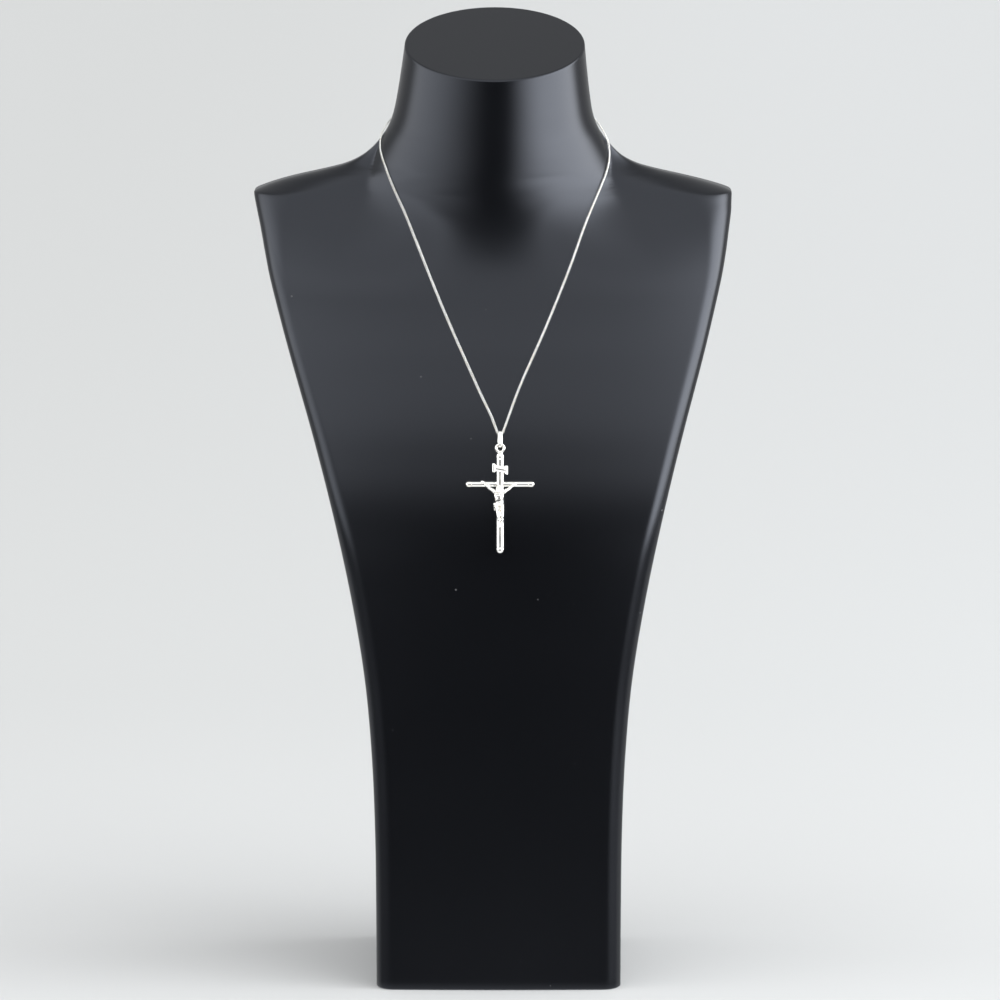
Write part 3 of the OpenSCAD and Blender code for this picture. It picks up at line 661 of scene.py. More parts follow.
def makeClasp(middle):
    # A barrel in two screwed halves: a profile turned about X, with a seam and a bead at each end
    half, r, corner = clasp["length"] / 2, clasp["width"] / 2, clasp["corner"]
    q = np.radians(np.linspace(4, 90, 8))
    end = np.stack([half - corner + corner * np.cos(q), r - corner + corner * np.sin(q)], 1)
    end[0, 1] = clasp["endFlat"]
    bead = np.array([half, r]) - clasp["bead"]
    seam = np.array([0, r]) + np.array(clasp["seam"]) * [1, -1]
    right = np.vstack([end, bead, seam])
    profile = np.vstack([right, right[::-1] * [-1, 1]])
    barrel = moved(turned(profile, 48), [[0, 0, 1], [0, 1, 0], [-1, 0, 0]], middle)
    eyeR = (clasp["eye"] - clasp["wire"]) / 2
    eyes = [moved(ringOf(eyeR, clasp["wire"] / 2, 12, 40), np.eye(3),
                  middle + [side * (half + eyeR), 0, 0]) for side in (1, -1)]
    place(solid("claspBarrel", [barrel] + eyes), "stand", silverFinish, "silver", "clasp")


makeClasp(makeChain())


def makeBail():
    # A strip carried round a loop: an arc over the chain, two nearly straight legs and an arc
    # under the ring's wire. The strip's width follows its place down the loop.
    topR = chain["width"] / 2 + bail["play"] + bail["thick"] / 2
    footR = ring["wire"] / 2 + bail["ringPlay"] + bail["thick"] / 2
    arc = np.radians(np.linspace(0, 180, 33))
    leg = np.linspace(0, 1, 26)[1:-1]
    over = np.stack([topR * np.cos(arc), topR * np.sin(arc)], 1)
    under = np.stack([-footR * np.cos(arc), -bail["length"] - footR * np.sin(arc)], 1)
    down = np.stack([between(-topR, -footR, leg), -bail["length"] * leg], 1)
    path = np.vstack([over, down, under, down[::-1] * [-1, 1]])
    along = unit(np.roll(path, -1, 0) - np.roll(path, 1, 0))
    normal = np.stack([along[:, 1], -along[:, 0]], 1)
    swell = rounded(np.array([bail["down"], bail["swell"]]).T, 8)
    share = np.clip(np.interp(-path[:, 1] / bail["length"], swell[:, 0], swell[:, 1]), 0, 1)
    half = between(bail["endWide"], bail["wide"], share) / 2
    # The strip's outline: crowned outside, flatter inside, with rounded edges
    edge = bail["thick"] / 2
    q = np.radians(np.linspace(-90, 90, 9))
    face = np.linspace(-1, 1, 13)[1:-1]
    outer = np.stack([face, edge + 0 * face], 1)
    corner = np.stack([1 + 0 * q, edge * np.sin(q)], 1)
    inward = np.cos(q) * edge
    shares = np.concatenate([-outer[:, 0], -corner[:, 0], outer[:, 0], corner[:, 0]])
    extra = np.concatenate([0 * face, -inward, 0 * face, inward])
    thick = np.concatenate([0 * face - edge, np.sin(q) * edge, 0 * face + edge, -np.sin(q) * edge])
    x = shares[None, :] * (half[:, None] - edge) + extra[None, :]
    crown = bail["crown"] * (1 - shares ** 2 - 0.5) * (thick > edge / 2)
    high = (thick + crown)[None, :]
    rings = np.stack([x, path[:, None, 0] + normal[:, None, 0] * high,
                      path[:, None, 1] + normal[:, None, 1] * high], -1)
    strip = moved(shell(rings, loop=True), leaning(bailLean), topHinge)
    place(solid("bailStrip", [strip]), "hanger", silverFinish, "silver", "bail")


makeBail()

# Cross

cross = {"long": 50.6, "upright": 3.8, "barLong": 34.5, "bar": 2.9, "barDrop": 16, "step": 0.2,
         "cap": 3, "sink": 0.65, "restGap": 0.3, "solder": 0.13, "mound": (1.45, 1.05, 0.5),
         "moundDrop": 0.12,
         # The edge of the cap, then the groove where the tube begins: out from the seam and how
         # far in from the cap's radius, then from the tube's
         "capEdge": ((.12, 0), (.05, .015), (0, .06)),
         "groove": ((0, .05), (-.06, .05), (-.12, .01), (-.2, 0))}
ringR = (ring["width"] - ring["wire"]) / 2
uprightTop = -2 * ringR - ring["wire"] / 2 + cross["sink"]
barZ = uprightTop - cross["barDrop"]


def crossLean():
    # The least lean that lets the upright's back clear the chest all the way down, at steps of
    # 2.5 mm. Where a step meets the chest depends on the lean, so it is worked out three times.
    back = (cross["upright"] + cross["step"]) / 2
    down = np.arange(-uprightTop + back, cross["long"] + 0.01, 2.5)
    lean = math.radians(bailLean)
    for _ in range(3):
        z = lowHinge[2] - down * math.cos(lean) - back * math.sin(lean)
        y = skinPoint(z, angleAcross(chain["acrossLow"], z))[:, 1] - cross["restGap"]
        lean = np.arcsin((lowHinge[1] + back * math.cos(lean) - y) / down).max()
    return math.degrees(lean)


lean = crossLean()
onCross = leaning(lean)


def cappedTube(width, long):
    # A plain tube with a domed cap let over each end and a fine seam where the cap begins
    r, cap = width / 2, (width + cross["step"]) / 2
    q = np.radians(np.linspace(3, 90, 14))
    dome = np.stack([long / 2 - cap + cap * np.cos(q), cap * np.sin(q)], 1)
    seam = long / 2 - cross["cap"]
    skirt = np.array([seam, cap]) + np.array(cross["capEdge"]) * [1, -1]
    groove = np.array([seam, r]) + np.array(cross["groove"]) * [1, -1]
    body = [[z, r] for z in np.linspace(seam - 1, 0, 9)[:-1]]
    right = np.vstack([dome, skirt, groove, body])
    return turned(np.vstack([right, [[0, r]], right[::-1] * [-1, 1]]), 72)


def makeCross():
    # Two capped tubes, one through the other, with the ring at the hinge. All stands upright under
    # the hinge first and is then leaned as a whole.
    upright = moved(cappedTube(cross["upright"], cross["long"]), np.eye(3),
                    [0, 0, uprightTop - cross["long"] / 2])
    bar = moved(cappedTube(cross["bar"], cross["barLong"]), [[0, 0, 1], [0, 1, 0], [-1, 0, 0]],
                [0, 0, barZ])
    eye = moved(ringOf(ringR, ring["wire"] / 2, 28, 80), np.eye(3), [0, 0, -ringR])
    # Solder: a thin bead round each place where the bar enters the upright, whose line is the
    # bar's circle pushed out to the upright's skin, and a low mound under the ring
    a = np.arange(64) / 64 * 2 * np.pi
    y, z = cross["bar"] / 2 * np.sin(a), cross["bar"] / 2 * np.cos(a)
    x = np.sqrt((cross["upright"] / 2) ** 2 - y ** 2)
    beads = [tube(np.stack([side * x, y, z + barZ], 1), cross["solder"], sides=10,
                  out=np.stack([0 * a + side, y * 0, z * 0], 1), loop=True) for side in (1, -1)]
    mound = ball([0, 0, uprightTop - cross["moundDrop"]], cross["mound"], 32)
    parts = [moved(part, onCross, lowHinge) for part in [upright, bar, eye, mound] + beads]
    place(solid("crossTubes", parts), "pendant", silverFinish, "silver", "cross")


makeCross()

# Scroll

scroll = {"long": 8, "high": 3.2, "thick": 0.5, "rollHigh": 4.4, "roll": 1.8, "fall": 1.1,
          "drop": 8.3, "turns": 1.35, "bulge": 0.6, "core": 0.30, "sink": 0.06, "wave": 0.10,
          "bend": 0.9, "widening": 0.8, "lipRings": 4, "lip": 0.4}


def makeScroll():
    # A ribbon whose plan is a spiral, a gently waved line and a second spiral. Its height grows
    # from the sheet's to the rolls' over the bend, and its ends slope with its fall.
    thin = scroll["thick"] / 2
    outer = scroll["roll"] / 2 - thin
    halfLong = (scroll["long"] - scroll["roll"]) / 2
    turn = np.linspace(0, 2 * np.pi * scroll["turns"], 44)
    shrink = between(outer, scroll["core"], turn / turn[-1])
    backY = -cross["upright"] / 2 - thin + scroll["sink"]
    centreY = backY - outer
    curlX = halfLong + shrink * np.sin(turn)
    curlY = centreY + shrink * np.cos(turn)
    sheetX = np.linspace(-halfLong, halfLong, 31)[1:-1]
    sheetY = backY - scroll["wave"] * np.sin(sheetX / halfLong * np.pi) ** 2
    x = np.concatenate([-curlX[::-1], sheetX, curlX])
    y = np.concatenate([curlY[::-1], sheetY, curlY])
    path = np.stack([x, y], 1)
    along = unit(np.gradient(path, axis=0))
    normal = np.stack([-along[:, 1], along[:, 0]], 1)
    inside = halfLong - np.abs(x)
    widening = ease((scroll["bend"] - inside) / scroll["widening"])
    half = between(scroll["high"], scroll["rollHigh"], widening) / 2
    half[inside < 0] = scroll["rollHigh"] / 2
    # The strip thins towards the lips inside the rolls
    order = np.arange(len(x))
    taper = np.minimum(1, np.minimum(order, order[::-1]) / scroll["lipRings"] + scroll["lip"])
    # Outline of the strip: a slab with rounded edges
    q = np.radians(np.linspace(-80, 80, 7))
    level = np.linspace(1, -1, 9)
    up = np.concatenate([level, -1 + 0 * q, -level, 1 + 0 * q])
    lift = np.concatenate([0 * level, -np.cos(q) * thin, 0 * level, np.cos(q) * thin])
    side = np.concatenate([0 * level + 1, -np.sin(q), 0 * level - 1, np.sin(q)]) * thin
    slopeZ = -x / halfLong * scroll["fall"] / 2
    z = slopeZ[:, None] + up[None, :] * (half[:, None] - thin) + lift[None, :]
    # The sheet between the rolls bulges forward, so that its face catches the light
    bulge = scroll["bulge"] * (1 - up ** 2) * ease(inside / scroll["bend"])[:, None]
    rings = np.stack([x[:, None] + normal[:, None, 0] * side * taper[:, None],
                      y[:, None] + normal[:, None, 1] * side * taper[:, None] - bulge, z], -1)
    sheet = moved(shell(rings), np.eye(3), [0, 0, uprightTop - scroll["drop"]])
    place(solid("scroll", [moved(sheet, onCross, lowHinge)]), "pendant", silverFinish, "silver",
          "titulus")


makeScroll()

# Figure

# The voxels are in millimetres. The two reaches run from the figure's middle line to its
# fingertips, and the right palm is the higher one by a share of the figure's height.
figure = {"high": 21.3, "leftReach": 9.6, "rightReach": 8.3, "crownDrop": 0.4, "seat": 0.02,
          "bodyVoxel": 0.089, "headVoxel": 0.052, "palmRise": 0.040, "headHigh": 0.158,
          "hollowDepth": 0.06, "hollowLevel": 0.25}
crownZ = barZ - figure["crownDrop"]
figureBack = -cross["upright"] / 2 - figure["seat"]
handBack = -cross["bar"] / 2 - figure["seat"]


def onFigure(points):
    # Shares of the figure's height, across, down from the crown and forward from its back
    p = np.asarray(points, float) * figure["high"]
    return np.stack([p[..., 0], figureBack - p[..., 2], crownZ - p[..., 1]], -1)


def limb(rows, sides=18, steps=6):
    # Rows of across, down, forward, half width and half depth, rounded into one smooth limb
    rows = rounded(rows, steps)
    return tube(onFigure(rows[:, :3]), rows[:, 3] * figure["high"], rows[:, 4] * figure["high"],
                sides)


def lump(at, sizes):
    # A ball with half its width, height and depth, in shares of the figure's height
    wide, high, deep = np.asarray(sizes, float) * figure["high"]
    return ball(onFigure(at), [wide, deep, high], 20)


def onSide(rows, side):
    # Rows that begin with a middle and a distance to either side of it: the middle plus or less
    # the distance
    rows = np.array(rows, float)
    return np.hstack([rows[..., :1] + side * rows[..., 1:2], rows[..., 2:]])


# Shares of the figure's height
arm = {
    "shoulder": (.100, .165, .055), "shoulderMiddle": -.015, "palmIn": .052, "palmOut": .024,
    "elbowDrop": .012,
    # From inside the shoulder to the palm: share of the way, half width and half depth
    "along": (-.10, .06, .26, .50, .62, .86, 1), "wide": (.036, .047, .041, .036, .038, .025, .026),
    "deep": (.036, .045, .039, .034, .034, .021, .016),
    # Half widths of the palm over its length, the fingers' lengths and half widths, and their roots
    "palmLong": .022, "palmWide": (.024, .030, .027), "palmDeep": .014,
    "fingers": (.027, .033, .031, .024), "fingerWide": (.0085, .0080, .0065), "fingerRoot": .020,
    "fingerGap": .0145, "fingerSpread": .003, "fingerBend": .006, "fingerTip": .003,
    # The thumb's knots along the hand, across it and forward
    "thumbAt": .024, "thumb": ((-.014, 0, 0), (.004, .006, 0), (.020, 0, .006)),
    "thumbWide": (.010, .010, .008), "nailOut": .015, "nail": (.013, .010, .013),
}


def armParts(side, reach, rise):
    # A tube from the shoulder to the palm, with a thickness for each knot on its way
    h = figure["high"]
    start = onFigure([side * arm["shoulder"][0] + arm["shoulderMiddle"], *arm["shoulder"][1:]])
    palm = np.array([side * (reach - arm["palmIn"] * h), handBack - arm["palmOut"] * h, barZ + rise])
    way = palm - start
    knots = start + way * np.array(arm["along"])[:, None]
    knots[3, 2] -= arm["elbowDrop"] * h
    size = np.stack([arm["wide"], arm["deep"]], 1) * h
    rows = rounded(np.hstack([knots, size]), 7)
    parts = [tube(rows[:, :3], rows[:, 3], rows[:, 4], 18)]
    # Hand: a flat palm with four fingers and a thumb, and the head of a nail
    along = unit(np.array([side * 1.0, 0, way[2] / abs(way[0])]))
    across = np.array([-along[2], 0, along[0]]) * side
    front = np.array([0, -1.0, 0])
    parts.append(tube([palm - along * arm["palmLong"] * h, palm, palm + along * arm["palmLong"] * h],
                      np.array(arm["palmWide"]) * h, arm["palmDeep"] * h, 14))
    for k, long in enumerate(arm["fingers"]):
        offset = across * (k - 1.5) * h  # from the middle of the four
        base = palm + along * arm["fingerRoot"] * h + offset * arm["fingerGap"]
        tip = base + along * long * h + offset * arm["fingerSpread"]
        parts.append(tube([base, between(base, tip, 0.5) + front * arm["fingerBend"] * h,
                           tip - front * arm["fingerTip"] * h],
                          np.array(arm["fingerWide"]) * h, sides=8))
    thumb = palm + across * arm["thumbAt"] * h
    parts.append(tube(thumb + np.array(arm["thumb"]) @ np.stack([along, across, front]) * h,
                      np.array(arm["thumbWide"]) * h, sides=8))
    parts.append(ball(palm + front * arm["nailOut"] * h, np.array(arm["nail"]) * h, 14))
    return parts


# Rows of across, down, forward, half width and half depth, in shares of the figure's height. The
# rows for both sides begin with a middle and a distance to either side of it.
torso = {
    "trunk": ((-.020, .120, .060, .036, .034), (-.020, .155, .058, .060, .040),
              (-.022, .185, .058, .104, .056), (-.026, .230, .062, .114, .064),
              (-.026, .285, .062, .107, .064), (-.024, .340, .056, .095, .056),
              (-.020, .395, .052, .086, .052), (-.018, .445, .056, .090, .058),
              (-.016, .495, .060, .092, .064), (-.012, .535, .062, .084, .064)),
    "shoulder": (-.016, .098, .172, .056), "shoulderSize": (.040, .034, .040),
    "breast": (-.024, .047, .212, .098), "breastSize": (.047, .034, .026),
    "belly": (-.020, .395, .082), "bellySize": (.050, .066, .026),
    "ribArch": ((-.022, .020, .285, .122, .008, .007), (-.024, .052, .318, .112, .009, .008),
                (-.026, .086, .352, .080, .008, .008)),
    "rib": ((-.026, .040, .252, .120, .006, .006), (-.026, .078, .262, .104, .007, .006),
            (-.026, .102, .264, .074, .006, .006)),
    "ribs": 3,
    # From one rib to the next below it
    "ribStep": ((0, .010, .026, -.004, 0, 0), (0, .004, .026, 0, 0, 0), (0, -.001, .026, 0, 0, 0)),
    "collarBone": ((-.020, .012, .150, .098, .010, .009), (-.020, .055, .160, .098, .009, .008),
                   (-.018, .092, .158, .078, .009, .008)),
}


def torsoParts():
    # The trunk, with shoulders, breast, collar bones and the lines of the ribs on both sides
    parts = [limb(torso["trunk"], 28)]
    for side in (-1, 1):
        parts += [lump(onSide(torso["shoulder"], side), torso["shoulderSize"]),
                  lump(onSide(torso["breast"], side), torso["breastSize"]),
                  limb(onSide(torso["ribArch"], side), 10)]
        parts += [limb(onSide(np.add(torso["rib"], k * np.array(torso["ribStep"])), side), 8)
                  for k in range(torso["ribs"])]
        parts.append(limb(onSide(torso["collarBone"], side), 10))
    parts.append(lump(torso["belly"], torso["bellySize"]))
    return parts


legs = {
    # Across, down and forward of the hip, knee, shin and ankle of the left leg and of the right
    "joints": (((-.050, .520, .066), (-.034, .735, .102), (-.022, .800, .088), (.000, .905, .052)),
               ((.030, .520, .064), (.042, .725, .090), (.038, .800, .076), (.024, .915, .044))),
    # Half width and half depth, from above the hip to the ankle
    "size": ((.056, .056), (.060, .060), (.055, .056), (.046, .048), (.043, .046), (.040, .042),
             (.041, .044), (.029, .032), (.025, .028)),
    "kneecap": (0, -.004, .036), "kneecapSize": (.024, .026, .014),
    # Heel and root of the toes of each foot, the right one behind, and the feet's sizes between
    "feet": (((.024, .915, .040), (.014, .968, .066)), ((.002, .905, .060), (.006, .972, .092))),
    "footSize": ((.025, .024), (.027, .021), (.030, .014)),
    "toes": 5, "toeGap": .0115, "toeBow": .003, "toeSize": ((.0075, .0075), (.0065, .0065)),
    "nail": (.006, .938, .096), "nailSize": (.012, .012, .010),
}


def legParts():
    # A limb from hip to ankle through points on the lines between its joints
    parts = []
    for joints in legs["joints"]:
        hip, knee, shin, ankle = (np.array(p) for p in joints)
        knots = np.vstack([hip - [0, .04, 0], hip, between(hip, knee, .5), between(hip, knee, .85),
                           knee, between(knee, shin, .6) - [0, 0, .004], shin + [0, .02, -.004],
                           between(shin, ankle, .75), ankle])
        parts.append(limb(np.hstack([knots, legs["size"]]), 20, 5))
        parts.append(lump(knee + legs["kneecap"], legs["kneecapSize"]))
    # Feet, one over the other, with toes, and the head of their nail
    for heel, root in np.array(legs["feet"]):
        knots = [heel, between(heel, root, 0.5), root]
        parts.append(limb(np.hstack([knots, legs["footSize"]]), 16))
        for k in range(legs["toes"]):
            toe = root + [(k - 2) * legs["toeGap"], .004 - abs(k - 1.5) * legs["toeBow"], .004]
            parts.append(limb(np.hstack([[toe, toe + [0, .012, .004]], legs["toeSize"]]), 8, 3))
    parts.append(lump(legs["nail"], legs["nailSize"]))
    return parts


# The wrap round the hips. Its folds run down from the knot on the left, each to its own height on
# the right, with a sag on the way and a half width. The rows are those of the torso.
cloth = {
    "wrap": ((-.018, .452, .058, .094, .062), (-.016, .475, .060, .102, .071),
             (-.016, .520, .064, .104, .077), (-.014, .560, .068, .098, .074),
             (-.010, .590, .072, .088, .064)),
    "low": (.458, .480, .498, .524, .550, .578), "sag": (.018, .034, .028, .046, .036, .048),
    "fold": (.008, .010, .007, .011, .008, .010),
    "hem": ((-.110, .446, .060, .010, .010), (-.055, .456, .114, .011, .010),
            (.000, .462, .124, .011, .010), (.055, .456, .108, .010, .010),
            (.088, .446, .060, .010, .010)),
    "knot": (-.122, .452, .062), "knotSize": (.032, .028, .034),
    "bow": ((-.106, .436, .074, .014, .012), (-.136, .430, .080, .018, .014),
            (-.150, .450, .066, .014, .012)),
    "tail": ((-.114, .470, .066, .020, .018), (-.126, .500, .060, .026, .020),
             (-.128, .540, .056, .026, .018), (-.122, .580, .052, .020, .012)),
}


def clothParts():
    # The wrap, its folds and hem, and the knot with its bow and tail
    parts = [limb(cloth["wrap"], 28)]
    for k, (low, sag, size) in enumerate(zip(cloth["low"], cloth["sag"], cloth["fold"])):
        parts.append(limb([(-.108, .460 + .007 * k, .082 - .002 * k, .008, .008),
                           (-.064, between(.466, low, .45) + sag * .55, .127, size, .009),
                           (-.008, between(.470, low, .8) + sag, .139, size, .010),
                           (.046, low + sag * .6, .126, size * .85, .008),
                           (.084, low, .084, .007, .007)], 10))
    parts += [limb(cloth["hem"], 10), lump(cloth["knot"], cloth["knotSize"]), limb(cloth["bow"], 10),
              limb(cloth["tail"], 14)]
    # Pleats in the hanging tail, spread a little wider at its foot
    parts += [limb([(-.116 - .010 * k, .468, .082, .006, .006),
                    (-.118 - .012 * k, .515, .080, .008, .008),
                    (-.112 - .012 * k, .575 - .008 * abs(k - 1), .066, .006, .007)], 8)
              for k in range(-1, 3)]
    return parts


# The head's place in shares of the figure's height and its lean in degrees. All else is in shares
# of the head's own height: across, down and forward from its middle. The proportions are the usual
# ones of a drawing manual: eyes half way down the head, the nose's foot half way from brow to chin,
# and the mouth a third of the way below that.
head = {
    "at": (-.026, .083, .100), "nod": 16, "tip": -9,
    "skull": (0, -.12, -.06), "skullSize": (.34, .38, .42),
    "face": (0, .14, .05), "faceSize": (.275, .35, .31),
    "forehead": (0, -.20, .16), "foreheadSize": (.26, .22, .20),
    "chin": (0, .38, .14), "chinSize": (.15, .11, .17),
    "neck": ((0, .25, -.12), (.02, .55, -.18), (.03, .85, -.30)), "neckSize": (.20, .19, .22),
    "brow": ((-.22, -.03, .27), (-.12, -.075, .345), (0, -.05, .36), (.12, -.075, .345),
             (.22, -.03, .27)), "browSize": (.022, .034, .028, .034, .022),
    "nose": ((0, -.06, .345), (0, .03, .395), (0, .12, .435), (0, .150, .430)),
    "noseSize": (.028, .032, .044, .036),
    "upperLip": ((-.070, .262, .345), (0, .250, .372), (.070, .262, .345)),
    "upperLipSize": (.010, .020, .010),
    "lowerLip": ((-.058, .285, .340), (0, .296, .365), (.058, .285, .340)),
    "lowerLipSize": (.010, .024, .010),
    # On both sides, with across counted outwards from the middle
    "eye": (.135, .008, .300), "eyeSize": (.070, .040, .050),
    "cheek": (.165, .120, .265), "cheekSize": (.085, .075, .070),
    "nostril": (.045, .150, .385), "nostrilSize": (.028, .024, .030),
    "ear": (.290, .020, -.02), "earSize": (.040, .090, .060),
    "lid": ((.070, .020, .338), (.135, .040, .350), (.200, .018, .305)),
    "lidSize": (.008, .011, .008),
    "moustache": ((.008, .200, .375), (.075, .225, .365), (.150, .300, .300)),
    "moustacheSize": (.022, .034, .018),
    "beardLocks": 11, "beardSize": (.030, .048, .040, .015),
    "hairLocks": 8, "hairSize": (.040, .060, .066, .066, .060, .050, .022), "hairWave": .025,
    "backLocks": (-.2, -.07, .07, .2), "backSize": (.06, .09, .10, .08),
    "twig": .030, "twigWinds": 9, "bandSize": (.385, .455), "bandDown": -.215, "bandTilt": .05,
    "bandBack": -.045, "pointEvery": 27, "pointSize": (.018, .012, .005),
}


def headParts():
    # Ovals and rounded locks on three axes: the way down the face, made by the nod and the tip,
    # the way right across it, and the way out of it
    h = figure["headHigh"] * figure["high"]
    middle = onFigure(head["at"])
    nod, tip = math.radians(head["nod"]), math.radians(head["tip"])
    down = np.array([math.sin(tip), -math.sin(nod) * math.cos(tip), -math.cos(nod) * math.cos(tip)])
    right = unit(np.array([1, 0, 0]) - down * down[0])
    front = np.cross(down, right)
    basis = np.stack([right, down, front])

    def spot(points):
        return middle + np.asarray(points, float) * h @ basis

    def oval(at, sizes, sides=20):
        # The head's own axes are left-handed, so the ball's faces turn round with it
        points, quads, fans = ball([0, 0, 0], np.asarray(sizes, float) * h, sides)
        return points @ basis + spot(at), quads[:, ::-1], fans[:, ::-1]

    def lock(points, sizes, sides=8, steps=5):
        # A rounded line through the points, as thick as the sizes spread evenly over it
        path = rounded(spot(points), steps)
        thick = np.interp(np.linspace(0, 1, len(path)), np.linspace(0, 1, len(sizes)),
                          np.multiply(sizes, h))
        return tube(path, thick, sides=sides, dome=4)

    parts = [oval(head["skull"], head["skullSize"], 32), oval(head["face"], head["faceSize"], 32),
             oval(head["forehead"], head["foreheadSize"]), oval(head["chin"], head["chinSize"]),
             lock(head["neck"], head["neckSize"], 18), lock(head["brow"], head["browSize"]),
             lock(head["nose"], head["noseSize"], 10)]
    for side in (-1, 1):
        mirror = np.array([side, 1, 1])
        parts += [oval(head["eye"] * mirror, head["eyeSize"]),
                  lock(head["lid"] * mirror, head["lidSize"], 6),
                  oval(head["cheek"] * mirror, head["cheekSize"]),
                  oval(head["nostril"] * mirror, head["nostrilSize"], 12),
                  lock(head["moustache"] * mirror, head["moustacheSize"], 8),
                  oval(head["ear"] * mirror, head["earSize"], 14)]
    parts += [lock(head["upperLip"], head["upperLipSize"], 8),
              lock(head["lowerLip"], head["lowerLipSize"], 8)]
    # Beard: locks that fall from the jaw and part in two at the chin
    for s in np.linspace(-1, 1, head["beardLocks"]):
        inner, bow, part = 1 - abs(s), 1 - s * s, np.sign(s)
        parts.append(lock([(s * .27, .16 + .12 * inner, .22 + .12 * bow),
                           (s * .23, .34 + .06 * inner, .21 + .13 * bow),
                           (s * .15 + .03 * part, .50 + .06 * inner, .23 + .08 * bow),
                           (s * .08 + .04 * part, .60 + .05 * inner, .24)], head["beardSize"]))
    # Hair: locks from the parting that fall beside the face to the shoulders, and down the back
    for side in (-1, 1):
        for k in range(head["hairLocks"]):
            back = k / (head["hairLocks"] - 1)
            wave = head["hairWave"] * math.sin(2.4 * k)
            parts.append(lock([(side * .02, -.49 + .03 * back, .14 - .42 * back),
                               (side * (.24 + .04 * back), -.37, .20 - .42 * back),
                               (side * (.345 + .02 * back), -.10, .17 - .40 * back + wave),
                               (side * (.355 - .01 * back), .18, .13 - .38 * back),
                               (side * (.330 + wave), .44, .10 - .36 * back),
                               (side * (.350 - wave), .66, .12 - .38 * back),
                               (side * (.300 + wave), .82, .14 - .36 * back)],
                              head["hairSize"], 8, 6))
    parts += [lock([(x, -.48, -.28), (x * 1.3, -.20, -.46), (x * 1.4, .20, -.46),
                    (x * 1.3, .60, -.40)], head["backSize"], 10) for x in head["backLocks"]]
    # A plaited band round the head, of two wound twigs with short points
    a = np.arange(72) / 72 * 2 * np.pi
    twig, winds, (halfWide, halfDeep) = head["twig"], head["twigWinds"], head["bandSize"]
    for phase in (0, np.pi):
        swell, rise = twig * np.cos(winds * a + phase), twig * np.sin(winds * a + phase)
        band = np.stack([(halfWide + swell) * np.sin(a),
                         head["bandDown"] + rise - head["bandTilt"] * np.cos(a),
                         head["bandBack"] + (halfDeep + swell) * np.cos(a)], 1)
        parts.append(tube(spot(band), twig * h, sides=8, out=spot(band) - middle, loop=True))
    for turn in np.radians(np.arange(-150, 180, head["pointEvery"])):
        root = np.array([.40 * np.sin(turn), head["bandDown"] - head["bandTilt"] * np.cos(turn),
                         head["bandBack"] + .47 * np.cos(turn)])
        away = np.array([np.sin(turn), .5 * np.cos(3 * turn), np.cos(turn)])
        parts.append(lock([root, root + away * .05, root + away * .10], head["pointSize"], 6, 3))
    return parts


def remeshed(name, parts, voxel, relax):
    # Overlapping shells become one skin: a voxel remesh in millimetres, then a light smoothing
    piece = solid(name, parts, 1)
    remesh = piece.modifiers.new("oneSkin", "REMESH")
    remesh.mode = "VOXEL"
    remesh.voxel_size = voxel
    soften = piece.modifiers.new("soften", "SMOOTH")
    soften.factor = 0.5
    soften.iterations = relax
    mesh = bpy.data.meshes.new_from_object(
        piece.evaluated_get(bpy.context.evaluated_depsgraph_get()))
    points = np.zeros(len(mesh.vertices) * 3)
    mesh.vertices.foreach_get("co", points)
    corners = np.zeros(len(mesh.loops), int)
    mesh.loops.foreach_get("vertex_index", corners)
    bpy.data.objects.remove(piece)
    return points.reshape(-1, 3), corners.reshape(-1, 4), np.zeros((0, 3), int)


def hollows(points, quads, rings=8, softening=2):
    # How far each point lies below the mean of its neighbours, averaged over a few rings of them
    edges = np.vstack([quads[:, [0, 1]], quads[:, [1, 2]], quads[:, [2, 3]], quads[:, [3, 0]]])
    edges = np.vstack([edges, edges[:, ::-1]])
    weight = np.bincount(edges[:, 0], minlength=len(points)).astype(float)

    def spread(values):
        return np.stack([np.bincount(edges[:, 0], values[edges[:, 1], i], len(points))
                         for i in range(values.shape[1])], 1) / weight[:, None]

    normal = np.zeros_like(points)
    face = np.cross(points[quads[:, 2]] - points[quads[:, 0]],
                    points[quads[:, 3]] - points[quads[:, 1]])
    for i in range(3):
        normal[:, i] = np.bincount(quads.ravel(), np.repeat(face[:, i], 4), len(points))
    normal = unit(normal)
    wide = points
    for _ in range(rings):
        wide = spread(wide)
    depth = ((wide - points) * normal).sum(1, keepdims=True)
    for _ in range(softening):
        depth = spread(depth)
    return depth[:, 0]


def makeFigure():
    # The body and the finer head are remeshed apart and laid one into the other
    body = torsoParts() + legParts() + clothParts()
    body += armParts(-1, figure["leftReach"], figure["palmRise"] * figure["high"])
    body += armParts(1, figure["rightReach"], 0)
    body = remeshed("figureBody", body, figure["bodyVoxel"], 3)
    face = remeshed("figureHead", headParts(), figure["headVoxel"], 2)
    depth = np.concatenate([hollows(points, quads) for points, quads, _ in (body, face)])
    piece = solid("figure", [moved(joined([body, face]), onCross, lowHinge)])
    # The hollow mark places the cast silver's painted shade
    mark = piece.data.attributes.new("hollow", "FLOAT", "POINT")
    mark.data.foreach_set(
        "value", np.clip(figure["hollowLevel"] + depth / figure["hollowDepth"], 0, 1))
    place(piece, "pendant", castFinish, "cast_silver", "corpus")


makeFigure()

# Floor, light and camera

# The fade and the spread say where the floor's colour changes, in metres behind and to the side; the
# far colours are painted shade, darker on the left
studio = {"floorColour": (0.555, 0.557, 0.553, 1), "shadedFarLeft": (0.495, 0.497, 0.49, 1),
          "shadedFarRight": (0.535, 0.54, 0.538, 1), "halfSize": 12000, "cells": 8, "fade": (0.1, 0.6),
          "spread": (-0.6, 0.6), "roughness": 0.9, "shine": 0.1}


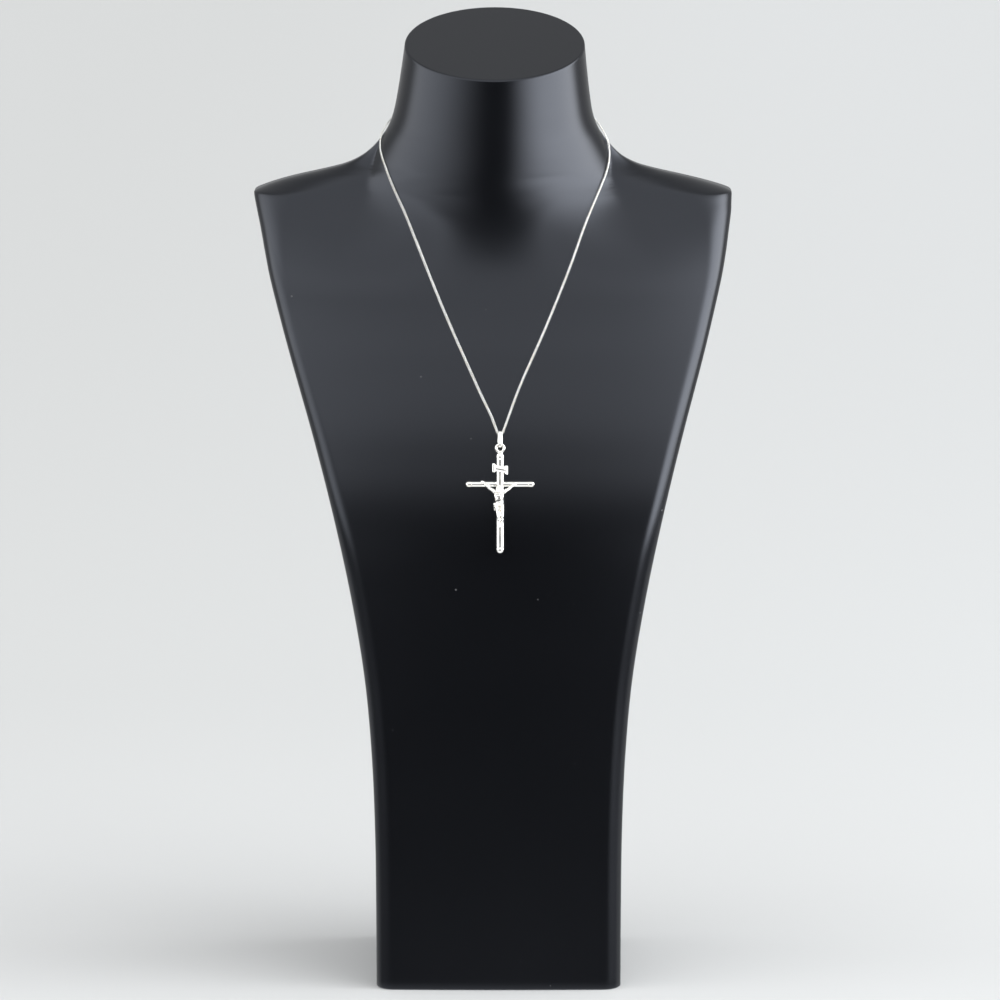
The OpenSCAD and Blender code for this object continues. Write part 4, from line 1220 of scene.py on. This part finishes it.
def makeFloor():
    # One level sheet on every side: seen from above it fills the picture behind the bust, and
    # nothing stands in the way of a view from behind
    line = np.linspace(-1, 1, studio["cells"] + 1) * studio["halfSize"]
    grid = np.stack(np.broadcast_arrays(line[None, :], line[:, None], 0.0), -1)
    ids = np.arange(line.size ** 2).reshape(line.size, line.size)
    quads = np.stack([ids[:-1, :-1], ids[:-1, 1:], ids[1:, 1:], ids[1:, :-1]], -1).reshape(-1, 4)
    floor = solid("floor", [(grid.reshape(-1, 3), quads, np.zeros((0, 3), int))])
    paper = Finish("palePaper", Roughness=studio["roughness"], Specular_IOR_Level=studio["shine"])
    across, away = (paper.node("ShaderNodeSeparateXYZ", None, {0: paper.place}, axis)
                    for axis in "XY")
    # Painted shade: the floor far behind the bust is darker than near it, more so on the left
    far = paper.mixed(paper.step(across, *studio["spread"]), studio["shadedFarLeft"],
                      studio["shadedFarRight"])
    paper.feed(Base_Color=paper.mixed(paper.step(away, *studio["fade"]), studio["floorColour"],
                                      far))
    floor.data.materials.append(paper.material)
    floor.visible_glossy = False  # the gloss shows the room's table instead, which ends near the foot


# Two soft boxes beside the bust: where each stands, what it looks at, its size, power and colour
lights = {
    "leftBox": ((-1500, -250, 520), (0, 0, 260), (700, 1300), 4, (1, 0.99, 0.97)),
    "rightBox": ((1500, -250, 520), (0, 0, 260), (700, 1300), 12, (0.93, 0.97, 1)),
}
room = {
    "colour": (0.97, 0.985, 1, 1),
    # Brightness of the dark opening that the camera looks in through, the bright panels to the
    # right and left, the eaves and the ceiling above them in front, both behind, the wall behind
    # and the white table
    "opening": 0.02, "right": 6.0, "left": 3.0, "eaves": 2.06, "ceiling": 1.35, "rear": 0.54,
    "wall": 0.48, "table": 1.3,
    # Where each begins and is whole, as parts of the direction towards it
    "behindEdge": (-0.2, 0.3), "eavesEdge": (0.165, 0.245), "ceilingEdge": (0.24, 0.38),
    "tableEdge": (-0.50, -0.35), "panelFoot": (-0.21, -0.14), "panelTop": (0.6, 0.9),
    "panelBack": (0.05, 0.4), "rightEdge": (0.15, 0.75), "leftEdge": (0, 1.1),
    # The panels' inner edges lean outwards with height, by this much over these heights
    "leanOut": 0.17, "leanEdge": (-0.2, 0.2),
}


def makeLights():
    # Flat lamps, turned so that their faces look at their targets
    for name, (at, to, size, power, colour) in lights.items():
        lamp = bpy.data.lights.new(name, "AREA")
        lamp.shape = "RECTANGLE"
        lamp.size, lamp.size_y = size[0] * mm, size[1] * mm
        lamp.energy, lamp.color = power, colour
        lit = bpy.data.objects.new(name, lamp)
        bpy.context.scene.collection.objects.link(lit)
        lit.location = Vector(at) * mm
        lit.rotation_euler = ((Vector(to) - Vector(at)) * mm).to_track_quat("-Z", "Y").to_euler()
        lit.visible_glossy = False  # what the gloss shows of the room is in the world


def makeRoom():
    # Each part of the room is laid over those before it, by a share that grows over its edge
    world = bpy.data.worlds.new("room")
    bpy.context.scene.world = world
    sky = Graph(world)
    way = sky.node("ShaderNodeTexCoord", out="Generated")
    side, forward, up = (sky.node("ShaderNodeSeparateXYZ", None, {0: way}, axis) for axis in "XYZ")

    def over(value, edge):
        return sky.step(value, *room[edge])

    behind = over(forward, "behindEdge")
    level = behind * (room["wall"] - room["opening"]) + room["opening"]
    ceiling = over(up, "ceilingEdge") * (room["ceiling"] - room["eaves"]) + room["eaves"]
    ceiling = ceiling + behind * (room["rear"] - ceiling)
    glow = level + over(up, "eavesEdge") * (ceiling - level)
    panels = over(up, "panelFoot") * (1 - over(up, "panelTop")) * (1 - over(forward, "panelBack"))
    shift = over(up, "leanEdge") * room["leanOut"]
    glow = glow + panels * over(side - shift, "rightEdge") * (room["right"] - glow)
    glow = glow + panels * over(-1 * side - shift, "leftEdge") * (room["left"] - glow)
    glow = glow + (1 - over(up, "tableEdge")) * (room["table"] - glow)
    background = sky.node("ShaderNodeBackground", None, {"Color": room["colour"], "Strength": glow})
    sky.node("ShaderNodeOutputWorld", None, {0: background})


makeLights()
makeRoom()
makeFloor()

# The camera's place, how far it looks down in degrees, and its lens and sensor in millimetres
view = {"at": (0.75, -2152, 702), "down": 11.96, "lens": 155.6, "sensor": 36, "farthest": 20}
camera = bpy.data.cameras.new("camera")
camera.sensor_width = view["sensor"]
camera.lens = view["lens"]
camera.clip_end = view["farthest"]
eye = bpy.data.objects.new("camera", camera)
bpy.context.scene.collection.objects.link(eye)
eye.location = Vector(view["at"]) * mm
eye.rotation_euler = (math.radians(90 - view["down"]), 0, 0)
bpy.context.scene.camera = eye
bpy.context.scene.view_settings.view_transform = "Standard"
print("camera and light are set")
